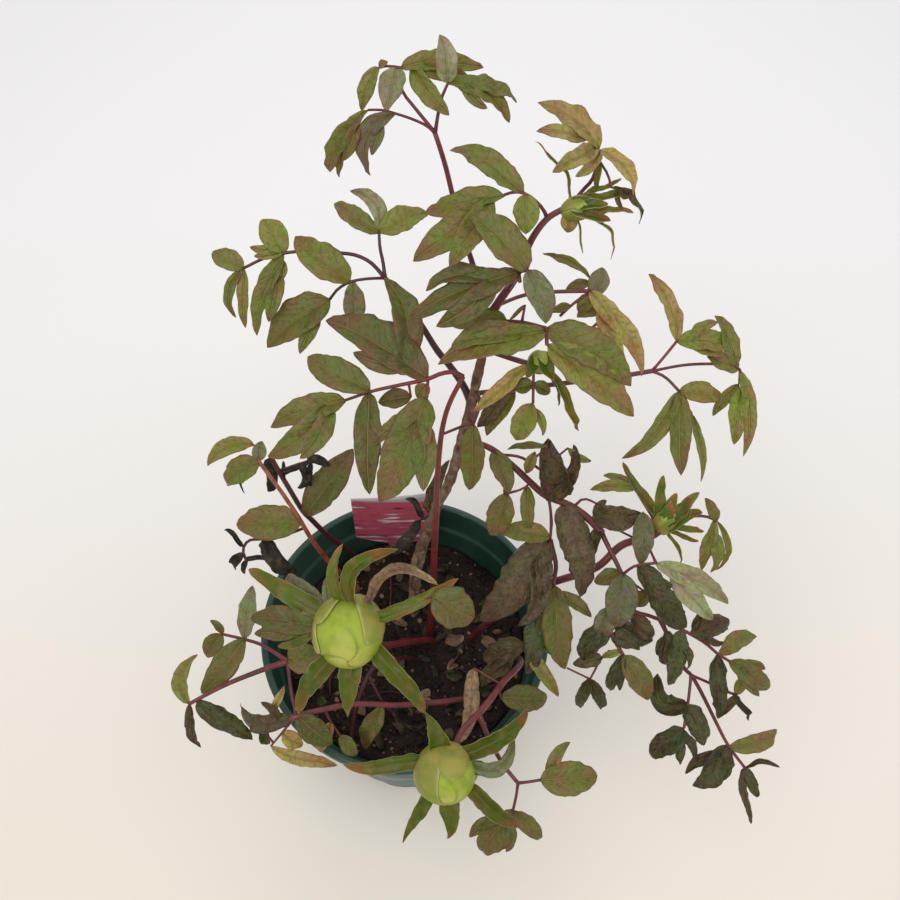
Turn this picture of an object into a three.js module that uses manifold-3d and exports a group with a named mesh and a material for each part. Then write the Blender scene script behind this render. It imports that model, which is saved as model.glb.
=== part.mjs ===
// A young tree peony with five flower buds, growing in a round nursery pot.
// Millimetres, +Z up. The origin is the centre of the pot's flat base.
import * as THREE from 'three';
import { mergeVertices } from 'three/addons/utils/BufferGeometryUtils.js';
import Module from 'manifold-3d';

const wasm = await Module();
wasm.setup();
const { Manifold } = wasm;

// Pot
const POT_HEIGHT = 190;
const RIM_RADIUS = 105;
const FOOT_RADIUS = 73;
const WALL = 2.4;
const FLOOR = 3;
const LIP_DEPTH = 8;
const LIP_WIDTH = 3;
const STEP_DEPTH = 22;
const STEP_WIDTH = 3;
const POT_SIDES = 32;
const DRAIN_SLOTS = 8;
const DRAIN_SLOT = [18, 5];
const DRAIN_RADIUS = 48;

// Soil
const SOIL_LEVEL = 147;
const SOIL_SIDES = 24;
const SOIL_RINGS = 4;
const SOIL_LUMP = 1.6;
const SOIL_MOUND = 3;
const ROOT_ZONE = SOIL_LEVEL + 25;
const ROOT_DEPTH = 24;

// Label: a plate with a stake, upright and facing the front, as (x, z) corners
const LABEL_DEPTH = 80;
const LABEL_THICKNESS = 0.8;
const LABEL_OUTLINE = [
  [-41, 173], [-16, 164], [-13, 122], [-5, 122], [-2, 164], [20, 172], [21, 246], [-40, 236],
];

// Plant
const CLEARANCE = 0.35;
const BLADE = 0.8;
const BLADE_ARCH = 0.07;
const BLADE_FOLD = 0.14;
const BLADE_SINK = 1.6;
const BLADE_STATIONS = [0.16, 0.46, 0.8];
const BLADE_HUB = 0.4;
const SHORT_STATIONS = [0.28, 0.68];
const SHORT_BLADE = 17;
const NARROW_BLADE = 11;
const BUD_SIDES = 14;
const BUD_RINGS = 9;
const SEPAL_RISE = 1.08;
const NOTCH = 0.64;
const BULGE = 0.15;
const THIN_STALK = 0.65;
const THICK_STALK = 1.8;
const STALK_STEP = 22;
const JOIN_REACH = 7;
const SMOOTHING = 0.1;

// The eye that the plant was drawn from. A point written [u, v, height] lies on the line of sight
// through image point (u, v), at that height above the pot's base. Widths are in image points too.
const EYE = new THREE.Vector3(32.7, -263.8, 882);
const EYE_PITCH = THREE.MathUtils.degToRad(59.12);
const FOCAL = 1000;
const IMAGE_CENTRE = 450;
const FORWARD = new THREE.Vector3(0, Math.cos(EYE_PITCH), -Math.sin(EYE_PITCH));
const UPWARD = new THREE.Vector3(0, Math.sin(EYE_PITCH), Math.cos(EYE_PITCH));
const LIGHTWARD = new THREE.Vector3(0, -0.3, 0.95);

const COLOURS = {
  pot: 0x1d3f33,
  soil: 0x2a1d16,
  label: 0xb8294a,
  bark: 0x8a6a52,
  leaf: 0x5f6b2c,
  dry: 0x3a3327,
  bud: 0x8fa83a,
};

function sightLine(u, v) {
  const across = new THREE.Vector3((u - IMAGE_CENTRE) / FOCAL, 0, 0);
  return across.add(FORWARD).addScaledVector(UPWARD, (IMAGE_CENTRE - v) / FOCAL);
}

function seen([u, v, height]) {
  const sight = sightLine(u, v);
  return EYE.clone().addScaledVector(sight, (height - EYE.z) / sight.z);
}

function imageScale(place) {
  return place.clone().sub(EYE).dot(FORWARD) / FOCAL;
}

function toSolid(geometry) {
  geometry.deleteAttribute('normal');
  geometry.deleteAttribute('uv');
  const merged = mergeVertices(geometry, 1e-4);
  return new Manifold(new wasm.Mesh({
    numProp: 3,
    vertProperties: Float32Array.from(merged.attributes.position.array),
    triVerts: Uint32Array.from(merged.index.array),
  }));
}

function closedSolid(corners, index) {
  const geometry = new THREE.BufferGeometry();
  const position = corners.flatMap((corner) => corner.toArray());
  geometry.setAttribute('position', new THREE.Float32BufferAttribute(position, 3));
  geometry.setIndex(index);
  return toSolid(geometry);
}

function largestBody(solid) {
  return solid.decompose().reduce((best, body) => (body.volume() > best.volume() ? body : best));
}

function toMesh(solid, name, color) {
  const { vertProperties, triVerts } = solid.getMesh();
  const geometry = new THREE.BufferGeometry();
  geometry.setAttribute('position', new THREE.BufferAttribute(vertProperties, 3));
  geometry.setIndex(new THREE.BufferAttribute(triVerts, 1));
  geometry.computeVertexNormals();
  const mesh = new THREE.Mesh(geometry, new THREE.MeshStandardMaterial({ color, roughness: 0.6 }));
  mesh.name = name;
  return mesh;
}

function smoothCurve(places) {
  const curve = new THREE.CatmullRomCurve3(places, false, 'centripetal');
  return { curve, steps: Math.max(1, Math.ceil(curve.getLength() / STALK_STEP)) };
}

// The straight pieces of a rod's axis.
function axisLines(places) {
  const { curve, steps } = smoothCurve(places);
  const ends = Array.from({ length: steps + 1 }, (_, step) => curve.getPointAt(step / steps));
  return ends.slice(1).map((end, step) => new THREE.Line3(ends[step], end));
}

// A round rod along a list of places, tapering from one radius to the other.
function rod(places, startRadius, endRadius) {
  const { curve, steps } = smoothCurve(places);
  const frames = curve.computeFrenetFrames(steps);
  const sides = Math.max(startRadius, endRadius) > THICK_STALK ? 6 : 4;
  const cylinder = new THREE.CylinderGeometry(1, 1, 1, sides, steps);
  cylinder.deleteAttribute('normal');
  cylinder.deleteAttribute('uv');
  const geometry = mergeVertices(cylinder);
  const position = geometry.attributes.position;
  for (let i = 0; i < position.count; i++) {
    const step = Math.round((0.5 - position.getY(i)) * steps);
    const radius = THREE.MathUtils.lerp(startRadius, endRadius, step / steps);
    const place = curve.getPointAt(step / steps)
      .addScaledVector(frames.normals[step], radius * position.getX(i))
      .addScaledVector(frames.binormals[step], radius * position.getZ(i));
    position.setXYZ(i, place.x, place.y, place.z);
  }
  return toSolid(geometry);
}

// The parts of a growth: stalks, leaflets and bud cores.
function stalk(points, startWidth, endWidth) {
  return { points, startWidth, endWidth };
}

function leaflet(base, tip, width, lobes = [], bow = 0, lean = 0) {
  return { points: [base, tip], width, lobes, bow, lean };
}

function core(centre, facing, radius, stretch, sepals) {
  return { points: [centre], facing, radius, stretch, sepals };
}

function stalkRadius(width, place) {
  return Math.max(THIN_STALK, 0.5 * width * imageScale(place));
}

// Half width of a plain leaflet, from its base at 0 to its tip at 1.
function ovate(x) {
  return Math.sin(Math.PI * x ** 0.75) ** 0.85;
}

// Flat patterns of blades: (along, across) points, faces turning left, and the rim in turn.

// A plain blade: stations along its rib, which may bow sideways.
function plainPattern(length, half, rib) {
  const flat = [new THREE.Vector2(-BLADE_SINK, 0)];
  const ribbed = half > NARROW_BLADE / 2;
  const stations = length < SHORT_BLADE ? SHORT_STATIONS : BLADE_STATIONS;
  for (const x of stations) {
    const s = x * length;
    const slope = rib(s + 0.5) - rib(s - 0.5);
    const side = new THREE.Vector2(-slope, 1).setLength(half * ovate(x));
    const middle = new THREE.Vector2(s, rib(s));
    flat.push(middle.clone().sub(side), middle.clone().add(side), middle);
  }
  flat.push(new THREE.Vector2(length, 0));
  const tip = flat.length - 1;
  const faces = ribbed ? [[0, 1, 3], [0, 3, 2]] : [[0, 1, 2]];
  for (let near = 1; near + 3 < tip; near += 3) {
    const [right, left, middle] = [near, near + 1, near + 2];
    if (ribbed) {
      faces.push([right, right + 3, middle], [right + 3, middle + 3, middle]);
      faces.push([middle, middle + 3, left], [middle + 3, left + 3, left]);
    } else {
      faces.push([right, right + 3, left], [right + 3, left + 3, left]);
    }
  }
  const [right, left, middle] = [tip - 3, tip - 2, tip - 1];
  faces.push(...(ribbed ? [[right, tip, middle], [middle, tip, left]] : [[right, tip, left]]));
  const rights = stations.map((_, order) => 3 * order + 1);
  const lefts = stations.map((_, order) => 3 * order + 2);
  return { flat, faces, rim: [0, ...rights, tip, ...lefts.reverse()] };
}

// A lobed blade: a ring of points round its hub. Edges bulge and notches lie between the lobes.
function lobedPattern(length, half, rib, lobes) {
  const hub = new THREE.Vector2(BLADE_HUB * length, rib(BLADE_HUB * length));
  const notch = (from, to) => {
    const middle = from.clone().lerp(to, 0.5);
    return hub.clone().lerp(middle, Math.max(NOTCH, 2.5 / middle.distanceTo(hub)));
  };
  const bulge = (from, to, side) => {
    const outward = new THREE.Vector2(from.y - to.y, to.x - from.x).multiplyScalar(side * BULGE);
    return from.clone().lerp(to, 0.5).add(outward);
  };
  const base = new THREE.Vector2(-BLADE_SINK, 0);
  const tip = new THREE.Vector2(length, 0);
  const turn = (point) => Math.abs(point.clone().sub(hub).angle() - Math.PI);
  const edge = (side) => {
    const own = lobes.filter((lobe) => side * (lobe.y - rib(lobe.x)) > 0);
    own.sort((a, b) => turn(a) - turn(b));
    if (own.length === 0) {
      const stations = BLADE_STATIONS.map((x) => x * length);
      return stations.map((s) => new THREE.Vector2(s, rib(s) + side * half * ovate(s / length)));
    }
    const points = [];
    let from = base;
    [...own, tip].forEach((point, order) => {
      if (order > 0) {
        from = notch(own[order - 1], point);
        points.push(from);
      }
      points.push(bulge(from, point, side), point);
    });
    return points.slice(0, -1);
  };
  const ring = [base, ...edge(-1), tip, ...edge(1).reverse()];
  const faces = ring.map((_, here) => [here, (here + 1) % ring.length, ring.length]);
  return { flat: [...ring, hub], faces, rim: [...ring.keys()] };
}

// A thin blade between two places, arched along its rib and folded a little about it.
function bladeSolid(base, tip, { width, lobes, bow, lean }) {
  const along = tip.clone().sub(base);
  const length = along.length();
  along.normalize();
  const normal = LIGHTWARD.clone().addScaledVector(along, -LIGHTWARD.dot(along)).normalize();
  normal.applyAxisAngle(along, THREE.MathUtils.degToRad(lean));
  const across = normal.clone().cross(along);
  const imageAcross = FORWARD.clone().cross(along).normalize();
  const facing = Math.max(0.55, Math.abs(across.dot(imageAcross)));
  const scale = imageScale(base.clone().lerp(tip, 0.5));
  const half = 0.5 * width * scale / facing;
  const rib = (s) => 4 * bow * scale * (s / length) * (1 - s / length);
  const onBlade = lobes.map(([u, v]) => {
    const sight = sightLine(u, v);
    const reach = base.clone().sub(EYE).dot(normal) / sight.dot(normal);
    const offset = EYE.clone().addScaledVector(sight, reach).sub(base);
    return new THREE.Vector2(offset.dot(along), offset.dot(across));
  });
  const pattern = lobes.length > 0
    ? lobedPattern(length, half, rib, onBlade)
    : plainPattern(length, half, rib);
  const lifted = (point, side) => {
    const x = THREE.MathUtils.clamp(point.x / length, 0, 1);
    const lift = 4 * BLADE_ARCH * length * x * (1 - x) + BLADE_FOLD * Math.abs(point.y - rib(point.x));
    return base.clone()
      .addScaledVector(along, point.x)
      .addScaledVector(across, point.y)
      .addScaledVector(normal, lift + side * BLADE / 2);
  };
  const { flat, faces, rim } = pattern;
  const under = flat.length;
  const corners = [...flat.map((point) => lifted(point, 1)), ...flat.map((point) => lifted(point, -1))];
  const index = faces.flatMap(([a, b, c]) => [a, b, c, a + under, c + under, b + under]);
  rim.forEach((here, order) => {
    const next = rim[(order + 1) % rim.length];
    index.push(here, here + under, next + under, here, next + under, next);
  });
  return closedSolid(corners, index);
}

// A place on a bud: the angle from its tip, the angle round its axis and the distance from its centre.
function budPlace(middle, { facing, stretch }, slope, turn, distance) {
  const axis = new THREE.Vector3(...facing).normalize();
  const side = axis.clone().cross(new THREE.Vector3(0, 1, 0)).normalize();
  const other = side.clone().cross(axis);
  const waist = distance * Math.sin(slope);
  return middle.clone()
    .addScaledVector(axis, stretch * distance * Math.cos(slope))
    .addScaledVector(side, waist * Math.cos(turn))
    .addScaledVector(other, waist * Math.sin(turn));
}

// A bud: a pointed ball, raised where its sepals lie. A sepal is written as [turn, half width, angle of
// its tip], in degrees round and from the bud's axis.
function coreSolid(middle, bud) {
  const sphere = new THREE.SphereGeometry(1, BUD_SIDES, BUD_RINGS);
  sphere.deleteAttribute('normal');
  sphere.deleteAttribute('uv');
  const geometry = mergeVertices(sphere, 1e-3);
  const position = geometry.attributes.position;
  for (let i = 0; i < position.count; i++) {
    const [x, y, z] = [position.getX(i), position.getY(i), position.getZ(i)];
    const slope = Math.acos(THREE.MathUtils.clamp(y, -1, 1));
    const turn = Math.atan2(z, x);
    const covered = bud.sepals.some((sepal) => isCovered(sepal, slope, turn));
    const distance = bud.radius * (covered ? SEPAL_RISE : 1);
    const place = budPlace(middle, bud, slope, turn, distance);
    position.setXYZ(i, place.x, place.y, place.z);
  }
  return toSolid(geometry);
}

function isCovered([turn, spread, open], slope, angle) {
  const degrees = THREE.MathUtils.radToDeg(slope);
  const aside = THREE.MathUtils.euclideanModulo(THREE.MathUtils.radToDeg(angle) - turn + 180, 360) - 180;
  const taper = Math.min(1, (degrees - open) / 45);
  return degrees > open && Math.abs(aside) < spread * taper;
}

function nearest(axes, place) {
  const places = axes.map((line) => line.closestPointToPoint(place, true, new THREE.Vector3()));
  return places.reduce((best, here) => (here.distanceTo(place) < best.distanceTo(place) ? here : best));
}

const rootedRods = [];

// Joins the parts of a growth. The first stalk starts on the axis of the stem that carries the
// growth, or in the soil; each later part starts on the bud core or the stalk nearest to it.
function grow(parts, carriers = []) {
  const axes = [];
  const rods = [];
  const solids = [];
  let bud = null;
  for (const part of parts) {
    const places = part.points.map(seen);
    const hosts = axes.length > 0 ? axes : carriers.flatMap((carrier) => carrier.axes);
    const rooted = part.startWidth && places[0].z < ROOT_ZONE;
    if (bud && places[0].distanceTo(bud.middle) < 1.7 * bud.radius * bud.stretch) {
      const inward = places[0].clone().sub(bud.middle).setLength(0.75 * bud.radius);
      places[0].copy(bud.middle).add(inward);
    } else if (hosts.length > 0 && !part.facing && !rooted) {
      const joint = nearest(hosts, places[0]);
      if (joint.distanceTo(places[0]) > JOIN_REACH && axes.length > 0) {
        solids.push(rod([joint, places[0]], 0.8, THIN_STALK));
      } else {
        places[0] = joint;
      }
    }
    if (part.startWidth) {
      const radii = [stalkRadius(part.startWidth, places[0]), stalkRadius(part.endWidth, places.at(-1))];
      if (rooted) {
        places.unshift(new THREE.Vector3(places[0].x, places[0].y, SOIL_LEVEL - ROOT_DEPTH));
        rootedRods.push([places, radii]);
      }
      axes.push(...axisLines(places));
      rods.push([places, radii]);
      solids.push(rod(places, ...radii));
    } else if (part.facing) {
      bud = { ...part, middle: places[0] };
      solids.push(coreSolid(places[0], part));
    } else {
      solids.push(bladeSolid(places[0], places[1], part));
    }
  }
  let solid = solids.reduce((sum, next) => sum.add(next));
  for (const carrier of carriers) {
    for (const [places, radii] of carrier.rods) {
      solid = solid.subtract(rod(places, radii[0] + CLEARANCE, radii[1] + CLEARANCE));
    }
  }
  return { solid: largestBody(solid.asOriginal().simplify(SMOOTHING)), axes, rods };
}

const trunk = grow([
  stalk([[414, 612, 145], [418, 559, 231], [426, 536, 258], [436, 508, 290], [449, 482, 317],
    [462, 440, 358], [470, 410, 383], [478, 375, 411], [489, 318, 453]], 12, 10),
  stalk([[489, 318, 453], [500, 300, 463], [515, 278, 476], [533, 237, 499], [548, 218, 508],
    [565, 208, 514]], 9, 6),
  stalk([[487, 320, 452], [484, 300, 462]], 6, 4),
  stalk([[430, 528, 264], [424, 540, 245], [417, 563, 215]], 5, 4),
]);

const leafTop = grow([
  stalk([[484, 306, 458], [472, 262, 468], [460, 225, 480], [453, 197, 492], [446, 168, 508],
    [440, 148, 520], [435, 133, 528]], 6, 5),
  stalk([[435, 133, 528], [428, 124, 532], [415, 108, 538], [402, 90, 544], [401, 68, 550]], 4, 3),
  stalk([[435, 133, 528], [427, 126, 530], [412, 119, 533], [397, 114, 535], [382, 110, 535],
    [368, 110, 534]], 3, 2),
  stalk([[435, 133, 528], [441, 100, 542], [448, 83, 551]], 4, 3),
  stalk([[401, 68, 550], [390, 66, 549], [379, 67, 548]], 3, 2),
  leaflet([402, 66, 550], [484, 67, 546], 24, [[446, 118], [468, 78]], 6, 20),
  leaflet([396, 68, 550], [386, 110, 540], 26),
  leaflet([379, 68, 548], [361, 111, 530], 17, [], -4),
  leaflet([379, 68, 548], [387, 61, 552], 9),
  leaflet([396, 114, 535], [369, 176, 504], 20, [[374, 155]], -18),
  leaflet([368, 110, 534], [336, 178, 498], 24, [[329, 172], [347, 160]], -8),
  leaflet([448, 83, 551], [440, 35, 571], 23),
  leaflet([449, 83, 551], [510, 122, 534], 22, [[485, 110], [517, 101]], 10),
], [trunk]);

const leafShootInner = grow([
  stalk([[547, 219, 508], [543, 209, 512], [531, 197, 516], [524, 193, 518]], 4, 3),
  stalk([[524, 193, 518], [514, 192, 517], [504, 195, 516]], 3, 3),
  leaflet([524, 194, 518], [450, 145, 526], 27),
  leaflet([504, 195, 516], [424, 211, 500], 26, [[415, 263], [456, 272]]),
  leaflet([525, 198, 517], [526, 234, 506], 27),
], [trunk]);

const budTop = grow([
  stalk([[563, 209, 513], [572, 208, 515]], 7, 8),
  core([578, 208, 515], [0.95, 0.1, 0.25], 6, 1.4, [[20, 55, 35], [140, 55, 35], [260, 55, 30]]),
  leaflet([567, 203, 516], [537, 140, 536], 3, [], -14),
  leaflet([577, 197, 518], [622, 176, 524], 6),
  leaflet([580, 203, 518], [632, 194, 520], 9),
  leaflet([582, 213, 516], [634, 212, 514], 10, [[602, 224]]),
  leaflet([568, 205, 518], [608, 202, 521], 15),
  leaflet([568, 210, 517], [611, 219, 517], 15, [], -3),
  leaflet([580, 226, 512], [614, 259, 498], 3, [], 12),
  leaflet([575, 230, 510], [584, 254, 500], 2, [], 2),
  leaflet([569, 211, 513], [568, 233, 504], 18),
  stalk([[568, 204, 513], [582, 191, 518], [592, 180, 525], [597, 165, 533], [599, 150, 540]], 4, 4),
  stalk([[603, 160, 536], [608, 175, 528], [611, 187, 524]], 2, 2),
  leaflet([598, 150, 540], [538, 102, 548], 26, [[537, 134], [552, 177], [576, 177]], -8),
  leaflet([600, 148, 540], [637, 194, 524], 18, [], 5),
  leaflet([603, 160, 536], [597, 190, 520], 7),
  leaflet([611, 187, 524], [644, 223, 508], 8, [[620, 208]], 5),
], [trunk]);

const leafCrown = grow([
  stalk([[508, 288, 468], [514, 280, 482], [518, 272, 495], [528, 270, 499]], 5, 4),
  stalk([[518, 272, 495], [520, 282, 494]], 4, 4),
  leaflet([530, 271, 499], [470, 213, 518], 38),
  leaflet([517, 270, 497], [407, 318, 478], 34, [[427, 291], [438, 328]]),
  leaflet([535, 270, 500], [547, 323, 484], 29),
], [trunk]);

const leafMiddle = grow([
  stalk([[492, 318, 450], [520, 322, 458], [546, 328, 466]], 4, 4),
  stalk([[546, 328, 466], [547, 345, 464]], 4, 4),
  leaflet([543, 330, 467], [438, 362, 462], 40, [[450, 350]]),
  leaflet([551, 321, 468], [631, 386, 450], 40, [], 3),
  leaflet([549, 345, 464], [635, 416, 440], 39),
  leaflet([505, 327, 455], [446, 325, 452], 25),
  leaflet([525, 305, 464], [509, 320, 458], 4),
], [trunk]);

const leafRearRight = grow([
  stalk([[500, 302, 456], [525, 295, 450], [551, 292, 445], [589, 291, 440]], 4, 4),
  stalk([[589, 291, 440], [590, 278, 441]], 3, 3),
  stalk([[589, 293, 440], [607, 312, 431], [592, 328, 425]], 3, 3),
  stalk([[589, 293, 440], [573, 304, 435], [560, 316, 430]], 3, 3),
  leaflet([588, 277, 441], [543, 252, 446], 8, [], -5),
  leaflet([597, 292, 440], [602, 267, 446], 21),
  leaflet([588, 283, 440], [565, 291, 436], 12),
  leaflet([592, 290, 441], [645, 374, 418], 22, [[621, 362]]),
  leaflet([603, 306, 432], [577, 317, 430], 16),
  leaflet([567, 301, 436], [551, 312, 432], 9),
  leaflet([592, 295, 436], [577, 311, 430], 16),
], [trunk]);

const leafRight = grow([
  stalk([[474, 392, 396], [520, 388, 397], [549, 385, 398], [590, 380, 398], [628, 375, 398],
    [652, 371, 398]], 5, 5),
  stalk([[652, 371, 398], [664, 357, 403], [677, 341, 408]], 3, 3),
  stalk([[652, 371, 398], [685, 365, 400], [715, 364, 400], [735, 366, 398], [740, 370, 396]], 3, 3),
  stalk([[652, 371, 398], [665, 377, 397], [679, 391, 394]], 3, 3),
  leaflet([676, 341, 408], [650, 272, 424], 17, [], -7),
  leaflet([679, 342, 408], [737, 347, 400], 26, [[725, 358], [715, 323]]),
  leaflet([737, 362, 398], [716, 314, 410], 18),
  leaflet([739, 372, 397], [708, 354, 402], 20),
  leaflet([740, 370, 396], [745, 456, 372], 15, [[733, 444]], 5),
  leaflet([739, 384, 392], [713, 416, 380], 12),
  leaflet([679, 391, 394], [622, 458, 374], 17, [], 6),
  leaflet([680, 393, 394], [724, 397, 388], 22),
  leaflet([684, 398, 393], [683, 475, 372], 22),
  leaflet([692, 414, 388], [702, 482, 368], 9),
], [trunk]);

const leafLeft = grow([
  stalk([[474, 400, 388], [463, 385, 398], [450, 366, 410], [437, 350, 420], [420, 323, 432],
    [400, 295, 444], [385, 278, 450]], 8, 5),
  stalk([[385, 278, 450], [383, 262, 456], [380, 248, 462], [379, 232, 468]], 4, 3),
  stalk([[385, 278, 450], [370, 262, 456], [355, 255, 459], [340, 253, 460], [315, 251, 460],
    [292, 252, 459], [265, 258, 456], [244, 268, 452]], 4, 3),
  stalk([[385, 278, 450], [365, 279, 452], [350, 282, 452], [338, 289, 447], [330, 299, 440]], 3, 3),
  leaflet([381, 231, 468], [428, 212, 474], 28),
  leaflet([379, 231, 468], [334, 201, 472], 22, [], 6),
  leaflet([380, 229, 468], [350, 190, 478], 17, [], -14),
  leaflet([284, 251, 459], [262, 218, 466], 28, [[251, 249], [255, 258]]),
  leaflet([283, 252, 459], [255, 335, 432], 22, [[270, 322], [283, 280]]),
  leaflet([244, 268, 452], [212, 251, 456], 22),
  leaflet([242, 272, 452], [245, 328, 430], 12),
  leaflet([240, 271, 452], [235, 318, 432], 12, [], -8),
  leaflet([350, 282, 452], [295, 236, 466], 34),
  leaflet([354, 282, 452], [357, 325, 422], 22),
  leaflet([330, 299, 440], [266, 347, 422], 40, [[303, 355]]),
], [trunk]);

const leafFront = grow([
  stalk([[428, 640, 145], [433, 600, 200], [434, 560, 265], [436, 520, 325], [438, 467, 375],
    [443, 425, 405], [450, 402, 420], [463, 377, 434]], 8, 5),
  stalk([[463, 377, 434], [453, 372, 436], [440, 374, 436], [428, 379, 435], [400, 385, 434],
    [373, 391, 432], [346, 400, 428]], 5, 3),
  stalk([[428, 379, 435], [427, 398, 432]], 3, 3),
  leaflet([428, 378, 435], [325, 318, 448], 50, [[385, 283], [354, 355]]),
  leaflet([370, 390, 432], [307, 355, 438], 33),
  leaflet([346, 400, 428], [270, 427, 418], 28, [[268, 457], [303, 460]]),
  leaflet([369, 392, 432], [369, 494, 408], 28),
  leaflet([427, 398, 432], [378, 501, 408], 46, [[376, 446], [425, 491]]),
  leaflet([427, 385, 433], [418, 399, 428], 16),
  leaflet([411, 397, 425], [378, 402, 422], 20),
]);

const budCentre = grow([
  stalk([[484, 345, 430], [510, 358, 432], [530, 364, 438]], 5, 6),
  core([540, 362, 440], [0.3, -0.4, 0.85], 6.4, 1.15, [[30, 50, 30], [150, 50, 30], [270, 50, 30]]),
  leaflet([530, 364, 438], [472, 411, 412], 16),
  leaflet([543, 350, 447], [555, 379, 441], 17),
  leaflet([538, 352, 446], [526, 377, 440], 13),
  leaflet([550, 374, 436], [560, 407, 420], 5, [], 3),
  leaflet([556, 378, 435], [583, 433, 408], 9, [], 6),
  stalk([[533, 368, 436], [533, 403, 424]], 3, 3),
  leaflet([533, 404, 424], [515, 441, 404], 26, [[545, 433]]),
  leaflet([533, 384, 430], [551, 392, 426], 14),
  leaflet([533, 384, 430], [514, 388, 426], 16),
], [trunk]);

const leafTrunk = grow([
  stalk([[436, 508, 290], [430, 514, 285], [424, 518, 277], [420, 520, 270]], 4, 3),
  leaflet([420, 520, 270], [378, 549, 250], 19, [], 5),
  leaflet([424, 518, 276], [404, 497, 280], 10),
  leaflet([430, 514, 284], [447, 464, 318], 17),
], [trunk]);

const leafCentre = grow([
  stalk([[477, 390, 400], [480, 402, 402], [477, 413, 396], [473, 424, 388]], 4, 4),
  stalk([[478, 408, 398], [500, 396, 391], [515, 392, 387]], 3, 3),
  stalk([[474, 422, 389], [463, 426, 388], [443, 434, 389]], 3, 3),
  leaflet([473, 424, 387], [469, 491, 354], 25),
  leaflet([505, 396, 390], [476, 427, 376], 18),
  leaflet([515, 392, 387], [486, 436, 368], 18),
], [trunk]);

const shootRight = grow([
  stalk([[462, 434, 358], [490, 448, 345], [513, 466, 336], [530, 482, 328], [545, 495, 322],
    [571, 506, 314], [590, 520, 306], [602, 533, 300]], 6, 8),
  stalk([[602, 533, 302], [610, 550, 298], [622, 575, 290], [632, 609, 278], [650, 616, 272],
    [675, 626, 264], [705, 643, 254], [718, 654, 250], [729, 661, 247]], 5, 3),
  stalk([[500, 455, 342], [520, 457, 342], [541, 470, 334]], 3, 3),
  stalk([[574, 508, 314], [583, 499, 318], [600, 505, 312]], 3, 2),
  stalk([[548, 498, 320], [552, 525, 306], [550, 536, 302]], 3, 2),
  leaflet([497, 447, 347], [509, 493, 330], 21),
  leaflet([548, 446, 352], [507, 449, 346], 7),
  leaflet([535, 452, 345], [526, 474, 332], 12),
  leaflet([568, 448, 348], [592, 461, 340], 8, [], -5),
  leaflet([596, 528, 302], [590, 566, 290], 15),
  leaflet([556, 502, 318], [549, 440, 356], 36, [[572, 446]]),
  leaflet([563, 507, 316], [583, 599, 286], 38),
  leaflet([550, 536, 302], [500, 533, 296], 22),
  leaflet([619, 572, 291], [594, 582, 282], 16),
  leaflet([721, 654, 250], [758, 636, 246], 18, [], 5),
  leaflet([729, 661, 247], [773, 688, 232], 30, [[763, 668], [757, 696]]),
  leaflet([717, 656, 250], [720, 721, 226], 21, [], -6),
  leaflet([682, 630, 262], [670, 689, 238], 25, [[688, 668]]),
  leaflet([631, 616, 268], [656, 637, 258], 20),
  leaflet([693, 631, 262], [733, 624, 252], 24, [[700, 608], [723, 643]]),
], [trunk]);

const leafBelowCentre = grow([
  stalk([[513, 466, 336], [506, 480, 330], [505, 494, 322]], 4, 4),
  stalk([[505, 494, 322], [522, 489, 322], [529, 484, 324]], 3, 2),
  leaflet([507, 495, 320], [490, 536, 300], 27),
  leaflet([528, 487, 323], [529, 531, 303], 15),
], [shootRight]);

const leafRightUpper = grow([
  stalk([[622, 575, 290], [635, 566, 298], [656, 563, 300]], 3, 3),
  stalk([[656, 563, 300], [648, 545, 298]], 3, 2),
  leaflet([592, 517, 308], [641, 512, 314], 34, [[606, 502]]),
  leaflet([643, 512, 314], [641, 565, 296], 22),
  leaflet([656, 563, 300], [731, 604, 284], 22, [[711, 620]]),
  leaflet([638, 567, 296], [692, 629, 272], 32),
  leaflet([622, 576, 294], [616, 628, 272], 34),
  leaflet([648, 594, 275], [631, 604, 270], 16),
], [shootRight]);

const leafRightLow = grow([
  stalk([[655, 618, 262], [672, 645, 250], [684, 668, 240], [691, 675, 236], [700, 690, 230],
    [714, 718, 220], [728, 745, 212], [745, 768, 205]], 5, 3),
  stalk([[691, 675, 236], [705, 681, 234], [728, 692, 228], [737, 695, 226]], 3, 3),
  stalk([[691, 675, 236], [689, 695, 230], [684, 728, 220]], 3, 3),
  leaflet([659, 625, 257], [668, 668, 236], 25, [[657, 654]]),
  leaflet([687, 704, 228], [659, 674, 236], 24, [], 16),
  leaflet([688, 705, 228], [707, 748, 208], 26),
  leaflet([684, 728, 220], [652, 760, 204], 28, [[681, 763], [695, 759]]),
  leaflet([727, 746, 212], [693, 788, 194], 30, [[685, 773]]),
  leaflet([730, 746, 212], [779, 729, 208], 18, [], -5),
  leaflet([746, 768, 205], [782, 768, 200], 6, [], 9),
  leaflet([745, 769, 205], [754, 827, 186], 9, [], -10),
  leaflet([748, 770, 205], [759, 798, 194], 14),
  leaflet([737, 695, 226], [719, 719, 220], 11),
  leaflet([740, 698, 225], [752, 723, 214], 10, [], -4),
  leaflet([737, 693, 228], [744, 674, 232], 11),
], [shootRight]);

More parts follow.
